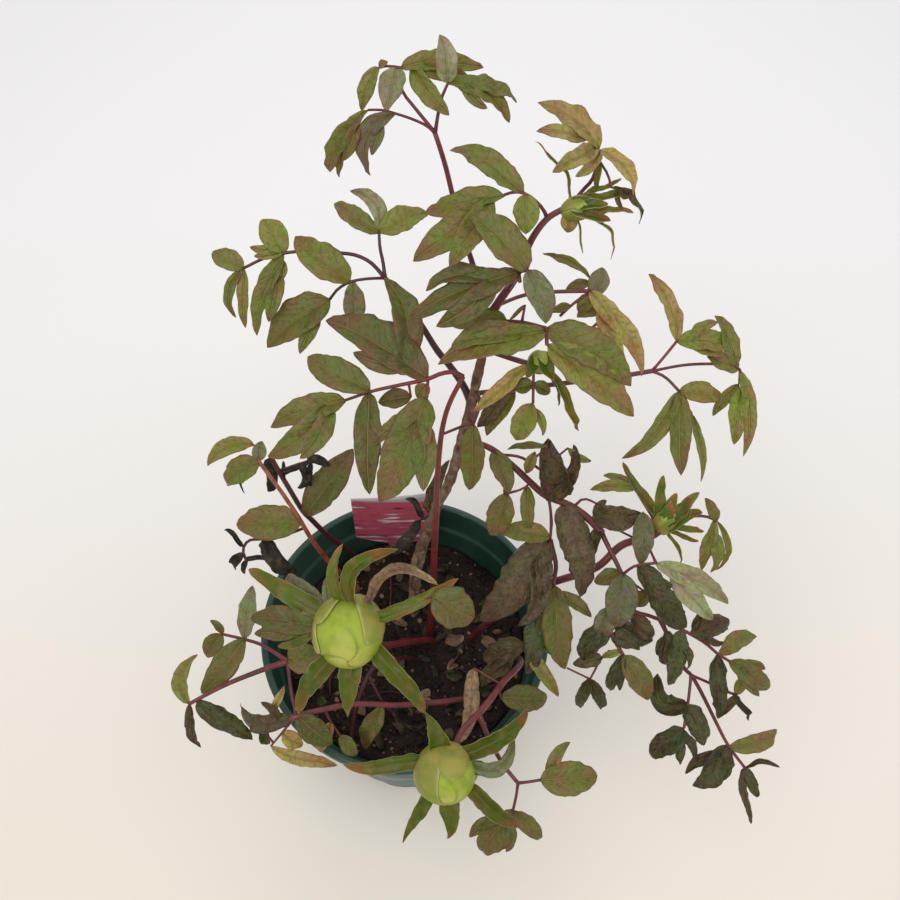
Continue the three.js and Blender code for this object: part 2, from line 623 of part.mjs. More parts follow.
const budRight = grow([
  stalk([[470, 640, 145], [500, 612, 215], [520, 592, 238], [560, 580, 262], [597, 567, 275],
    [622, 545, 286], [652, 536, 298], [660, 530, 303]], 7, 8),
  core([665, 520, 305], [0.3, 0.1, 1], 8.4, 1.25, [[0, 50, 25], [90, 50, 25], [180, 50, 25], [270, 50, 25]]),
  leaflet([650, 514, 310], [624, 462, 330], 10),
  leaflet([635, 490, 320], [590, 489, 316], 12, [], -4),
  leaflet([634, 486, 321], [603, 475, 318], 10),
  leaflet([656, 520, 310], [665, 476, 326], 12),
  leaflet([658, 524, 311], [677, 494, 322], 15),
  leaflet([660, 528, 310], [690, 497, 318], 17),
  leaflet([664, 532, 306], [704, 512, 308], 13),
  leaflet([661, 532, 307], [671, 503, 322], 15),
  leaflet([667, 534, 305], [690, 508, 317], 13),
  leaflet([676, 518, 308], [700, 492, 316], 11),
  leaflet([674, 527, 305], [706, 531, 298], 7),
  leaflet([668, 538, 300], [701, 541, 294], 5),
  leaflet([668, 540, 299], [682, 566, 286], 4),
  stalk([[684, 520, 307], [697, 516, 304], [708, 517, 303], [717, 521, 301]], 3, 3),
  leaflet([717, 521, 301], [705, 498, 308], 12),
  leaflet([718, 522, 301], [717, 571, 280], 7, [], 8),
  leaflet([712, 527, 300], [702, 571, 280], 14, [[712, 573]]),
]);

const leafInnerRight = grow([
  stalk([[551, 500, 318], [551, 516, 300], [551, 530, 294], [550, 540, 288]], 3, 3),
  stalk([[550, 540, 288], [556, 565, 280], [553, 584, 270]], 5, 4),
  leaflet([550, 540, 288], [478, 622, 262], 50, [[520, 626], [540, 600]]),
  leaflet([548, 584, 268], [566, 671, 236], 30, [[590, 614]]),
  stalk([[553, 584, 270], [540, 595, 262], [538, 612, 254], [531, 632, 246], [520, 650, 238],
    [512, 658, 232]], 3, 3),
  leaflet([538, 612, 254], [527, 676, 234], 25),
  leaflet([549, 613, 250], [552, 658, 228], 19),
  leaflet([520, 640, 240], [480, 655, 225], 28),
  leaflet([524, 645, 240], [559, 697, 222], 15),
  leaflet([512, 658, 232], [480, 688, 220], 20),
], [shootRight]);

const leafHanging = grow([
  stalk([[625, 584, 287], [612, 602, 278], [608, 622, 268], [612, 635, 264], [623, 655, 256]], 5, 4),
  stalk([[610, 651, 250], [600, 660, 246], [595, 670, 242], [590, 679, 238]], 3, 2),
  stalk([[590, 680, 238], [567, 668, 240]], 2, 2),
  leaflet([586, 683, 238], [581, 711, 222], 15),
  leaflet([589, 684, 238], [602, 711, 222], 15),
  leaflet([600, 655, 248], [572, 664, 240], 16),
  leaflet([610, 620, 266], [582, 662, 250], 27),
  leaflet([607, 621, 262], [577, 641, 252], 13),
  leaflet([616, 622, 258], [654, 641, 248], 24, [], -4),
  leaflet([617, 657, 255], [611, 695, 236], 16, [[620, 690]]),
  leaflet([622, 656, 256], [649, 700, 238], 26),
  leaflet([617, 652, 255], [601, 657, 250], 8),
  leaflet([612, 606, 275], [600, 640, 262], 22),
  leaflet([612, 634, 264], [640, 650, 262], 20),
], [shootRight]);

const budLeft = grow([
  stalk([[432, 641, 155], [405, 643, 200], [378, 645, 260], [355, 640, 300]], 7, 7),
  core([349, 632, 314], [0.05, -0.94, 0.36], 21, 1.08,
    [[135, 38, 40], [38, 34, 76], [352, 34, 50], [250, 40, 60]]),
  leaflet([344, 597, 330], [342, 546, 350], 13, [], 10),
  leaflet([360, 597, 334], [395, 551, 350], 18, [], 29),
  leaflet([376, 600, 328], [436, 585, 338], 14, [], 24),
  leaflet([384, 611, 326], [457, 578, 336], 15, [], -6),
  leaflet([432, 596, 334], [475, 618, 322], 40),
  leaflet([382, 648, 314], [426, 716, 290], 20, [], -4),
  leaflet([353, 666, 306], [347, 719, 286], 24),
  leaflet([328, 660, 308], [297, 714, 294], 22),
  leaflet([310, 628, 316], [276, 646, 312], 12),
  leaflet([320, 606, 322], [245, 567, 322], 21, [], 4),
  leaflet([298, 622, 318], [248, 618, 310], 28, [[256, 634]]),
  leaflet([305, 598, 316], [286, 572, 310], 24),
  leaflet([318, 598, 322], [325, 578, 316], 12),
]);

const budFront = grow([
  stalk([[500, 640, 145], [515, 655, 195], [520, 664, 225], [503, 682, 240], [495, 693, 244],
    [480, 712, 250], [461, 733, 258], [452, 757, 262]], 6, 7),
  core([446, 774, 256], [0.05, -1, 0.05], 18.5, 1,
    [[58, 44, 62], [350, 44, 12], [150, 34, 78], [240, 44, 40]]),
  leaflet([420, 758, 262], [342, 765, 260], 17, [], -3),
  leaflet([441, 746, 268], [425, 712, 282], 22),
  leaflet([466, 748, 266], [529, 709, 268], 19, [], -6),
  leaflet([474, 753, 262], [514, 735, 260], 15, [], -24),
  leaflet([476, 764, 258], [506, 770, 254], 15),
  leaflet([472, 786, 252], [524, 828, 238], 18, [], -4),
  leaflet([451, 803, 244], [447, 842, 228], 21),
  leaflet([425, 796, 246], [402, 845, 226], 15, [], 3),
  leaflet([501, 697, 236], [549, 700, 224], 26),
  leaflet([474, 668, 240], [458, 742, 232], 18),
]);

const leafFrontRight = grow([
  stalk([[478, 715, 249], [492, 745, 243], [505, 767, 240], [518, 783, 236]], 5, 4),
  stalk([[518, 783, 236], [528, 782, 235], [540, 780, 233]], 3, 3),
  stalk([[518, 783, 236], [516, 797, 228], [513, 810, 222]], 3, 3),
  leaflet([540, 780, 233], [599, 776, 226], 34, [[567, 742]]),
  leaflet([516, 812, 222], [481, 855, 196], 34, [[470, 835], [508, 849]]),
  leaflet([521, 812, 221], [541, 842, 202], 17),
], [budFront]);

const shootLeftOrange = grow([
  stalk([[356, 592, 145], [340, 573, 185], [330, 563, 210], [312, 540, 250], [303, 525, 272],
    [297, 515, 283], [280, 490, 305], [260, 463, 322]], 6, 4),
  stalk([[260, 463, 322], [254, 445, 323]], 3, 2),
  leaflet([254, 445, 322], [206, 465, 316], 18, [], -8),
  leaflet([258, 461, 322], [225, 485, 306], 28),
  leaflet([262, 460, 322], [262, 441, 328], 15),
  leaflet([299, 525, 274], [235, 524, 268], 35),
  leaflet([256, 455, 318], [241, 496, 300], 6),
]);

const leafBlack = grow([
  stalk([[303, 527, 268], [285, 535, 262], [264, 539, 262], [248, 541, 258], [243, 550, 254],
    [247, 562, 248]], 3, 3),
  leaflet([264, 539, 262], [300, 573, 236], 27, [], -4),
  leaflet([243, 553, 252], [231, 571, 240], 15),
  leaflet([249, 557, 250], [270, 562, 244], 8),
  leaflet([242, 546, 254], [223, 529, 258], 8),
  leaflet([246, 560, 249], [243, 575, 242], 9),
], [shootLeftOrange]);

const shootLeftDark = grow([
  stalk([[364, 560, 145], [357, 556, 168], [340, 545, 200], [325, 533, 228], [312, 520, 250],
    [303, 511, 262], [290, 490, 282], [277, 468, 300], [271, 457, 308]], 6, 5),
  leaflet([306, 516, 270], [352, 448, 292], 32),
  leaflet([269, 458, 300], [266, 493, 286], 19),
  leaflet([287, 477, 295], [307, 462, 304], 9, [], 4),
  leaflet([289, 478, 292], [282, 463, 300], 7),
  leaflet([300, 463, 302], [296, 490, 288], 15, [], 5),
  leaflet([307, 461, 304], [331, 465, 300], 14, [], 4),
  leaflet([311, 462, 302], [310, 488, 290], 10),
]);

const leafLowLeft = grow([
  stalk([[410, 640, 165], [370, 655, 205], [330, 662, 232], [288, 661, 248]], 6, 6),
  stalk([[288, 661, 248], [262, 670, 244], [225, 685, 238], [189, 704, 230]], 6, 4),
  stalk([[288, 661, 248], [262, 645, 246], [247, 640, 244], [222, 634, 240]], 4, 3),
  stalk([[288, 661, 248], [291, 690, 238], [295, 716, 228], [290, 723, 224], [271, 746, 214]], 4, 2),
  leaflet([245, 639, 244], [252, 585, 252], 18),
  leaflet([221, 634, 240], [206, 658, 230], 20, [[211, 620]]),
  leaflet([245, 641, 243], [200, 694, 228], 27),
  leaflet([189, 704, 230], [197, 654, 236], 16, [], 12),
  leaflet([188, 706, 229], [200, 750, 208], 12),
  leaflet([198, 699, 231], [253, 742, 210], 22, [], -6),
  leaflet([289, 660, 249], [320, 652, 254], 32),
  stalk([[470, 690, 150], [466, 698, 185], [400, 705, 206], [355, 704, 214], [325, 709, 220],
    [297, 716, 227], [290, 719, 226]], 6, 6),
  leaflet([291, 716, 227], [236, 703, 216], 21, [[264, 702]], 8),
  leaflet([272, 712, 222], [284, 686, 230], 9),
  leaflet([262, 728, 214], [269, 746, 204], 12),
  leaflet([271, 746, 214], [338, 766, 196], 14, [], -6),
  leaflet([286, 735, 218], [303, 745, 208], 17),
  leaflet([297, 717, 227], [333, 745, 210], 26),
  stalk([[325, 709, 220], [331, 722, 212], [340, 735, 206]], 3, 2),
  leaflet([331, 722, 212], [320, 753, 198], 17),
  leaflet([340, 735, 206], [357, 756, 196], 15),
]);

const leafWilted = grow([
  stalk([[420, 662, 148], [400, 658, 180], [377, 662, 200]], 5, 5),
  stalk([[377, 662, 200], [366, 680, 192], [356, 708, 178], [351, 740, 162]], 6, 5),
  stalk([[368, 676, 196], [383, 703, 182], [392, 712, 176]], 4, 3),
  leaflet([382, 706, 192], [364, 750, 168], 20),
  leaflet([392, 712, 176], [426, 749, 160], 9),
  leaflet([398, 720, 174], [428, 740, 164], 5),
  leaflet([402, 657, 180], [396, 678, 166], 14),
]);

function potSolid() {
  const innerTop = RIM_RADIUS - LIP_WIDTH - WALL;
  const slope = (innerTop + WALL - FOOT_RADIUS) / POT_HEIGHT;
  const outer = (z) => FOOT_RADIUS + slope * z;
  const stepTop = POT_HEIGHT - STEP_DEPTH;
  const stepRadius = outer(stepTop) - WALL - STEP_WIDTH;
  const profile = [
    [0, 0], [FOOT_RADIUS - 3, 0], [FOOT_RADIUS, 3], [outer(POT_HEIGHT - LIP_DEPTH), POT_HEIGHT - LIP_DEPTH],
    [RIM_RADIUS, POT_HEIGHT - LIP_DEPTH + 1], [RIM_RADIUS, POT_HEIGHT - 1.5],
    [RIM_RADIUS - 1.5, POT_HEIGHT], [innerTop + 1, POT_HEIGHT], [innerTop, POT_HEIGHT - 2],
    [outer(stepTop) - WALL, stepTop], [stepRadius, stepTop - 2],
    [FOOT_RADIUS - WALL - STEP_WIDTH, FLOOR], [0, FLOOR],
  ].map(([radius, z]) => new THREE.Vector2(radius, z));
  const lathe = new THREE.LatheGeometry(profile, POT_SIDES);
  lathe.rotateX(Math.PI / 2);
  let pot = toSolid(lathe);
  for (let slot = 0; slot < DRAIN_SLOTS; slot++) {
    const hole = new THREE.BoxGeometry(...DRAIN_SLOT, 4 * FLOOR);
    hole.translate(DRAIN_RADIUS, 0, 0);
    hole.rotateZ(2 * Math.PI * slot / DRAIN_SLOTS);
    pot = pot.subtract(toSolid(hole));
  }
  return pot;
}

function labelSolid(thickness, grown) {
  const middle = LABEL_OUTLINE.reduce((sum, [x]) => sum + x, 0) / LABEL_OUTLINE.length;
  const corners = LABEL_OUTLINE.map(([x, z]) => (
    new THREE.Vector2(x + Math.sign(x - middle) * grown, z - grown)));
  const shape = new THREE.Shape(corners);
  const geometry = new THREE.ExtrudeGeometry(shape, { depth: thickness, bevelEnabled: false });
  geometry.rotateX(Math.PI / 2);
  geometry.translate(0, LABEL_DEPTH + thickness / 2, 0);
  return toSolid(geometry);
}

// The soil that fills the pot, lumpy on top, with a plain hole for each rooted stem.
function soilSolid() {
  const stepTop = POT_HEIGHT - STEP_DEPTH;
  const wallTop = FOOT_RADIUS + (RIM_RADIUS - LIP_WIDTH - FOOT_RADIUS) * stepTop / POT_HEIGHT;
  const lowRadius = FOOT_RADIUS - WALL - STEP_WIDTH;
  const highRadius = wallTop - WALL - STEP_WIDTH;
  const slope = (highRadius - lowRadius) / (stepTop - 2 - FLOOR);
  const radiusAt = (z) => lowRadius + slope * (z - FLOOR) - 2 * CLEARANCE;
  const bottom = FLOOR + CLEARANCE;
  const profile = [new THREE.Vector2(0, bottom), new THREE.Vector2(radiusAt(bottom), bottom)];
  for (let ring = 0; ring <= SOIL_RINGS; ring++) {
    profile.push(new THREE.Vector2(radiusAt(SOIL_LEVEL) * (1 - ring / SOIL_RINGS), SOIL_LEVEL));
  }
  const lathe = new THREE.LatheGeometry(profile, SOIL_SIDES);
  lathe.rotateX(Math.PI / 2);
  const position = lathe.attributes.position;
  for (let i = 0; i < position.count; i++) {
    const [x, y, z] = [position.getX(i), position.getY(i), position.getZ(i)];
    if (z > SOIL_LEVEL - 1) {
      const lumps = Math.sin(x * 0.11 + 1.3) * Math.cos(y * 0.13) + 0.5 * Math.sin((x + y) * 0.23);
      const mound = Math.max(0, 1 - Math.hypot(x, y) / 60);
      position.setZ(i, z + SOIL_LUMP * lumps + SOIL_MOUND * mound);
    }
  }
  let soil = toSolid(lathe).subtract(labelSolid(LABEL_THICKNESS + 2 * CLEARANCE, CLEARANCE));
  for (const [places, radii] of rootedRods) {
    soil = soil.subtract(rod(places, radii[0] + CLEARANCE, radii[1] + CLEARANCE));
  }
  return soil;
}

const group = new THREE.Group();
const pieces = [
  ['pot', potSolid(), COLOURS.pot],
  ['soil', soilSolid(), COLOURS.soil],
  ['label', labelSolid(LABEL_THICKNESS, 0), COLOURS.label],
  ['trunk', trunk.solid, COLOURS.bark],
  ['leaf_top', leafTop.solid, COLOURS.leaf],
  ['leaf_shoot_inner', leafShootInner.solid, COLOURS.leaf],
  ['leaf_crown', leafCrown.solid, COLOURS.leaf],
  ['leaf_middle', leafMiddle.solid, COLOURS.leaf],
  ['leaf_rear_right', leafRearRight.solid, COLOURS.leaf],
  ['leaf_right', leafRight.solid, COLOURS.leaf],
  ['leaf_left', leafLeft.solid, COLOURS.leaf],
  ['leaf_front', leafFront.solid, COLOURS.leaf],
  ['leaf_trunk', leafTrunk.solid, COLOURS.dry],
  ['leaf_centre', leafCentre.solid, COLOURS.leaf],
  ['leaf_below_centre', leafBelowCentre.solid, COLOURS.leaf],
  ['leaf_right_upper', leafRightUpper.solid, COLOURS.leaf],
  ['leaf_right_low', leafRightLow.solid, COLOURS.leaf],
  ['leaf_inner_right', leafInnerRight.solid, COLOURS.leaf],
  ['leaf_hanging', leafHanging.solid, COLOURS.leaf],
  ['leaf_front_right', leafFrontRight.solid, COLOURS.leaf],
  ['leaf_low_left', leafLowLeft.solid, COLOURS.leaf],
  ['leaf_wilted', leafWilted.solid, COLOURS.dry],
  ['leaf_black', leafBlack.solid, COLOURS.dry],
  ['shoot_right', shootRight.solid, COLOURS.leaf],
  ['shoot_left_orange', shootLeftOrange.solid, COLOURS.leaf],
  ['shoot_left_dark', shootLeftDark.solid, COLOURS.leaf],
  ['bud_top', budTop.solid, COLOURS.bud],
  ['bud_centre', budCentre.solid, COLOURS.bud],
  ['bud_right', budRight.solid, COLOURS.bud],
  ['bud_left', budLeft.solid, COLOURS.bud],
  ['bud_front', budFront.solid, COLOURS.bud],
];
for (const [name, solid, colour] of pieces) {
  group.add(toMesh(solid, name, colour));
}
export default group;
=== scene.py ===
"""Looks of a young tree peony with flower buds, growing in a round nursery pot.

Sizes are in millimetres until a mesh is made. A point written [u, v, height] lies on the line of
sight through image point (u, v), at that height above the pot's base, and widths are in image
points, as in the part's own source.
"""

import logging
import math
import random
from dataclasses import dataclass, field, replace
from enum import Enum

import bpy
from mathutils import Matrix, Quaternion, Vector, noise

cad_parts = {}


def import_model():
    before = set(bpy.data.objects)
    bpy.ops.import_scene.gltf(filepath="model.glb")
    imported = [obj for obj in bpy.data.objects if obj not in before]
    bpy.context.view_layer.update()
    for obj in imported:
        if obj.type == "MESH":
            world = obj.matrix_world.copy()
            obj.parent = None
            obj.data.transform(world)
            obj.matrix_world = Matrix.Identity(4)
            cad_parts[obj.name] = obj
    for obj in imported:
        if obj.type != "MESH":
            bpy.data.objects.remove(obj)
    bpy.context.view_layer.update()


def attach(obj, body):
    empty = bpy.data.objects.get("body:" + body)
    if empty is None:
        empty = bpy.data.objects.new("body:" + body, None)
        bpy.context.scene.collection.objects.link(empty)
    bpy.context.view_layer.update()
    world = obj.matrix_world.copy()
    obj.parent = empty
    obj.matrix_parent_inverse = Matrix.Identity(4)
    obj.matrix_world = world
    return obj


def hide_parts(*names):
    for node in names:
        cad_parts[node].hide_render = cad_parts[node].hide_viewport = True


LOG = logging.getLogger("peony")
MM = 0.001  # Metres in a millimetre.
GAMMA = 2.2  # The power that turns a colour of a picture into light.
ROOT_ZONE = 172.0  # A stalk that starts lower than this is rooted in the soil.
ROOT_LEVEL = 123.0  # The height where the foot of a rooted stalk ends.
JOIN_REACH = 7.0  # A blade that starts farther from its stalk gets a twig.
TWIG_RADII = (0.8, 0.65)  # The radii of that twig.
LEAST_RADIUS = 0.65  # The least radius of a stalk.
BLADE_ARCH = 0.07  # The rise of a blade's middle, as a share of its length.
BLADE_FOLD = 0.14  # How steeply its halves rise from the midrib.
LIGHTWARD = Vector((0.0, -0.3, 0.95))  # The way that the upper faces of blades turn.
LEAST_LENGTH = 2.0  # The least length of a blade.
LEAST_FACING = 0.55  # How edge-on a blade may be seen before its width is no longer corrected.
LEAST_TIP = 0.02  # The least width of a blade, as a share of its widest.
NAME_SEEDS, NAME_SEED_STEP = 89, 1.37  # How a growth's name sets its seed.
PART_SEED_STEP, LOBE_SEED_STEP = 1.618, 0.37  # What each part and each side lobe adds to it.

Colour = tuple[float, float, float]


def paint(red: int, green: int, blue: int) -> Colour:
    """Turns a colour of 0 to 255 per channel into linear light.

    Args:
        red: The red channel.
        green: The green channel.
        blue: The blue channel.

    Returns:
        The colour as the shaders take it.
    """
    return tuple((channel / 255.0) ** GAMMA for channel in (red, green, blue))


def blend(first: Colour, second: Colour, share: float) -> Colour:
    """Mixes two colours; share is the part of the second one."""
    share = min(1.0, max(0.0, share))
    return tuple(a + (b - a) * share for a, b in zip(first, second))


def ease(value: float, low: float, high: float) -> float:
    """Rises smoothly from 0 at low to 1 at high."""
    x = min(1.0, max(0.0, (value - low) / (high - low)))
    return x * x * (3.0 - 2.0 * x)


class Tone(Enum):
    """The named colours of leaves, bracts, stalks and bark."""

    GREEN = "green"
    OLIVE = "olive"
    # A grey-green tone: its greyness is painted sheen, the sky's reflection on upper faces baked into the
    # colour.
    GREY_SHEEN = "grey_sheen"
    SHEEN = "sheen"
    TAN = "tan"
    RUSSET = "russet"
    WILTED = "wilted"
    HUSK = "husk"
    DRY = "dry"
    BRACT = "bract"
    SPIKE = "spike"
    CRIMSON = "crimson"
    SCARLET = "scarlet"
    ORANGE = "orange"
    PURPLE = "purple"
    BARK = "bark"


(GREEN, OLIVE, GREY_SHEEN, SHEEN, TAN, RUSSET, WILTED, HUSK, DRY, BRACT, SPIKE,
 CRIMSON, SCARLET, ORANGE, PURPLE, BARK) = Tone


class Coat(Enum):
    """The finishes that a growth's mesh wears, by the number of their slot."""

    LEAF = 0
    STALK = 1
    BUD = 2
    DRY = 3
    WILTED = 4


@dataclass(frozen=True)
class Shade:
    """The colours that one tone is made of.

    Attributes:
        base: The colour of most of the surface.
        blotch: The colour of the patches in it.
        tip: The colour towards a blade's tip and margin.
        curl: How much a blade of this tone curls up, from 0 to 1.
        fullness: The power that shapes its outline: the lower, the more strap-like.
        widest: The power that sets where it is widest: the lower, the nearer to its base.
        coat: The finish that its blades wear.
    """

    base: Colour
    blotch: Colour
    tip: Colour
    curl: float = 0.12
    fullness: float = 0.66
    widest: float = 0.82
    coat: Coat = Coat.LEAF


SHADES = {
    GREEN: Shade(paint(82, 92, 34), paint(104, 86, 52), paint(106, 72, 52)),
    OLIVE: Shade(paint(98, 106, 40), paint(110, 98, 54), paint(114, 80, 56), 0.16),
    # The grey-green tone's base colour is painted sheen of the sky on the leaves' upper faces.
    GREY_SHEEN: Shade(paint(102, 108, 78), paint(104, 94, 76), paint(100, 76, 62)),
    SHEEN: Shade(paint(136, 136, 106), paint(128, 116, 96), paint(112, 88, 72)),
    TAN: Shade(paint(156, 138, 82), paint(144, 116, 74), paint(142, 98, 66), 0.22),
    RUSSET: Shade(paint(70, 68, 42), paint(82, 62, 48), paint(50, 36, 30), 0.5, 0.68, 0.74, Coat.WILTED),
    WILTED: Shade(paint(56, 68, 34), paint(64, 58, 40), paint(38, 30, 24), 0.46, 0.68, 0.74, Coat.WILTED),
    HUSK: Shade(paint(140, 112, 86), paint(116, 84, 68), paint(160, 138, 108), 0.5, 0.5, 0.76, Coat.WILTED),
    DRY: Shade(paint(44, 38, 32), paint(58, 52, 40), paint(30, 22, 22), 0.8, coat=Coat.DRY),
    BRACT: Shade(paint(58, 84, 8), paint(80, 76, 24), paint(150, 56, 36), 0.36, 0.5, 0.6, Coat.BUD),
    SPIKE: Shade(paint(54, 76, 8), paint(74, 76, 20), paint(112, 56, 30), 0.3, 0.9, 0.42, Coat.BUD),
    CRIMSON: Shade(paint(112, 44, 46), paint(84, 44, 42), paint(116, 62, 56)),
    SCARLET: Shade(paint(130, 42, 44), paint(102, 46, 44), paint(116, 56, 50)),
    ORANGE: Shade(paint(176, 92, 66), paint(140, 62, 52), paint(150, 92, 62)),
    PURPLE: Shade(paint(78, 40, 44), paint(58, 42, 38), paint(90, 52, 50)),
    BARK: Shade(paint(156, 128, 104), paint(122, 96, 78), paint(112, 68, 60)),
}


@dataclass(frozen=True)
class Sight:
    """The eye that the plant was drawn from, in millimetres."""

    eye: tuple[float, float, float] = (32.7, -263.8, 882.0)
    pitch: float = math.radians(59.12)
    focal: float = 1000.0
    centre: float = 450.0

    @property
    def forward(self) -> Vector:
        """The way the eye looks."""
        return Vector((0.0, math.cos(self.pitch), -math.sin(self.pitch)))

    def line(self, u: float, v: float) -> Vector:
        """Gives the line of sight through an image point, one deep along the view.

        Args:
            u: How far right the point is.
            v: How far down it is.

        Returns:
            The line.
        """
        upward = Vector((0.0, math.sin(self.pitch), math.cos(self.pitch)))
        across = Vector(((u - self.centre) / self.focal, 0.0, 0.0))
        return self.forward + across + upward * ((self.centre - v) / self.focal)

    def place(self, point: list[float]) -> Vector:
        """Gives the place of a [u, v, height] point."""
        sight = self.line(point[0], point[1])
        return Vector(self.eye) + sight * ((point[2] - self.eye[2]) / sight.z)

    def scale(self, place: Vector) -> float:
        """Gives the millimetres that one image point covers at a place."""
        return (place - Vector(self.eye)).dot(self.forward) / self.focal


SIGHT = Sight()


@dataclass(frozen=True)
class Stalk:
    """A stalk, stem or shoot along seen points, tapering between two widths."""

    points: list[list[float]]
    start_width: float
    end_width: float
    tone: Tone | None = None


@dataclass(frozen=True)
class Leaflet:
    """A leaflet or bract from its base to its tip, with the tips of its lobes."""

    base: list[float]
    tip: list[float]
    width: float
    lobes: list[list[float]] = field(default_factory=list)
    bow: float = 0.0
    lean: float = 0.0
    tone: Tone | None = None


@dataclass(frozen=True)
class Core:
    """A flower bud: its middle, the way it faces, its size and its sepals in degrees."""

    centre: list[float]
    facing: list[float]
    radius: float
    stretch: float
    sepals: list[list[float]]


def smooth_path(places: list[Vector], spacing: float) -> list[Vector]:
    """Runs an even centripetal curve through places.

    Args:
        places: The places that the curve goes through.
        spacing: The distance between its points.

    Returns:
        Points along the curve, about the spacing apart.
    """
    ends = [places[0] * 2 - places[1], *places, places[-1] * 2 - places[-2]]
    dense: list[Vector] = []
    for here in range(len(places) - 1):
        p0, p1, p2, p3 = ends[here:here + 4]
        d0, d1, d2 = (max(1e-3, (b - a).length) ** 0.5 for a, b in ((p0, p1), (p1, p2), (p2, p3)))
        m1 = ((p1 - p0) / d0 - (p2 - p0) / (d0 + d1) + (p2 - p1) / d1) * d1
        m2 = ((p2 - p1) / d1 - (p3 - p1) / (d1 + d2) + (p3 - p2) / d2) * d1
        for step in range(12):
            t = step / 12.0
            cubic = p1 * 2 - p2 * 2 + m1 + m2
            square = p2 * 3 - p1 * 3 - m1 * 2 - m2
            dense.append(p1 + m1 * t + square * t * t + cubic * t * t * t)
    dense.append(places[-1])
    length = sum((b - a).length for a, b in zip(dense, dense[1:]))
    count = max(2, round(length / spacing))
    even = [dense[0]]
    walked, step = 0.0, length / count
    for a, b in zip(dense, dense[1:]):
        reach = (b - a).length
        while reach > 0 and walked + reach >= step * len(even) - 1e-6 and len(even) < count:
            even.append(a.lerp(b, (step * len(even) - walked) / reach))
        walked += reach
    even.append(dense[-1])
    return even


class Skin:
    """The growing mesh of one piece, with the attributes that its finishes read."""

    def __init__(self) -> None:
        """Starts an empty mesh."""
        self.places: list[Vector] = []
        self.faces: list[tuple[int, ...]] = []
        self.slots: list[int] = []
        self.tones: list[Colour] = []
        self.traits: dict[str, list[float]] = {key: [] for key in ("edge", "under", "along", "aside")}

    def add(self, place: Vector, tone: Colour, edge: float = 0.0, under: float = 0.0,
            along: float = 0.0, aside: float = 0.0) -> int:
        """Adds a vertex.

        Args:
            place: Where it is, in millimetres.
            tone: Its colour.
            edge: How near it is to a blade's margin, from 0 to 1.
            under: 1 on a blade's underside.
            along: The distance along the nearest vein.
            aside: The distance from the nearest vein.

        Returns:
            The vertex's number.
        """
        self.places.append(place)
        self.tones.append(tone)
        for key, value in (("edge", edge), ("under", under), ("along", along), ("aside", aside)):
            self.traits[key].append(value)
        return len(self.places) - 1

    def face(self, corners: tuple[int, ...], slot: int) -> None:
        """Adds a face that wears the finish in a slot."""
        self.faces.append(corners)
        self.slots.append(slot)

    def grid(self, rows: list[list[int]], slot: int, closed: bool = False) -> None:
        """Fills rows of vertices with faces.

        Args:
            rows: The vertices, row by row.
            slot: The finish of the faces.
            closed: Whether each row joins up with its own start.
        """
        for low, high in zip(rows, rows[1:]):
            count = len(low)
            for here in range(count if closed else count - 1):
                there = (here + 1) % count
                self.face((low[here], low[there], high[there], high[here]), slot)

    def build(self, name: str, finishes: list[bpy.types.Material]) -> bpy.types.Object:
        """Makes the object.

        Args:
            name: The piece's name.
            finishes: Its materials, one per slot.

        Returns:
            The new object, in the scene.
        """
        mesh = bpy.data.meshes.new(name)
        mesh.from_pydata([place * MM for place in self.places], [], self.faces)
        for finish in finishes:
            mesh.materials.append(finish)
        mesh.polygons.foreach_set("material_index", self.slots)
        mesh.polygons.foreach_set("use_smooth", [True] * len(self.faces))
        tone = mesh.attributes.new("tone", "FLOAT_COLOR", "POINT")
        tone.data.foreach_set("color", [part for colour in self.tones for part in (*colour, 1.0)])
        for key, values in self.traits.items():
            mesh.attributes.new(key, "FLOAT", "POINT").data.foreach_set("value", values)
        mesh.update()
        piece = bpy.data.objects.new(name, mesh)
        bpy.context.scene.collection.objects.link(piece)
        return piece


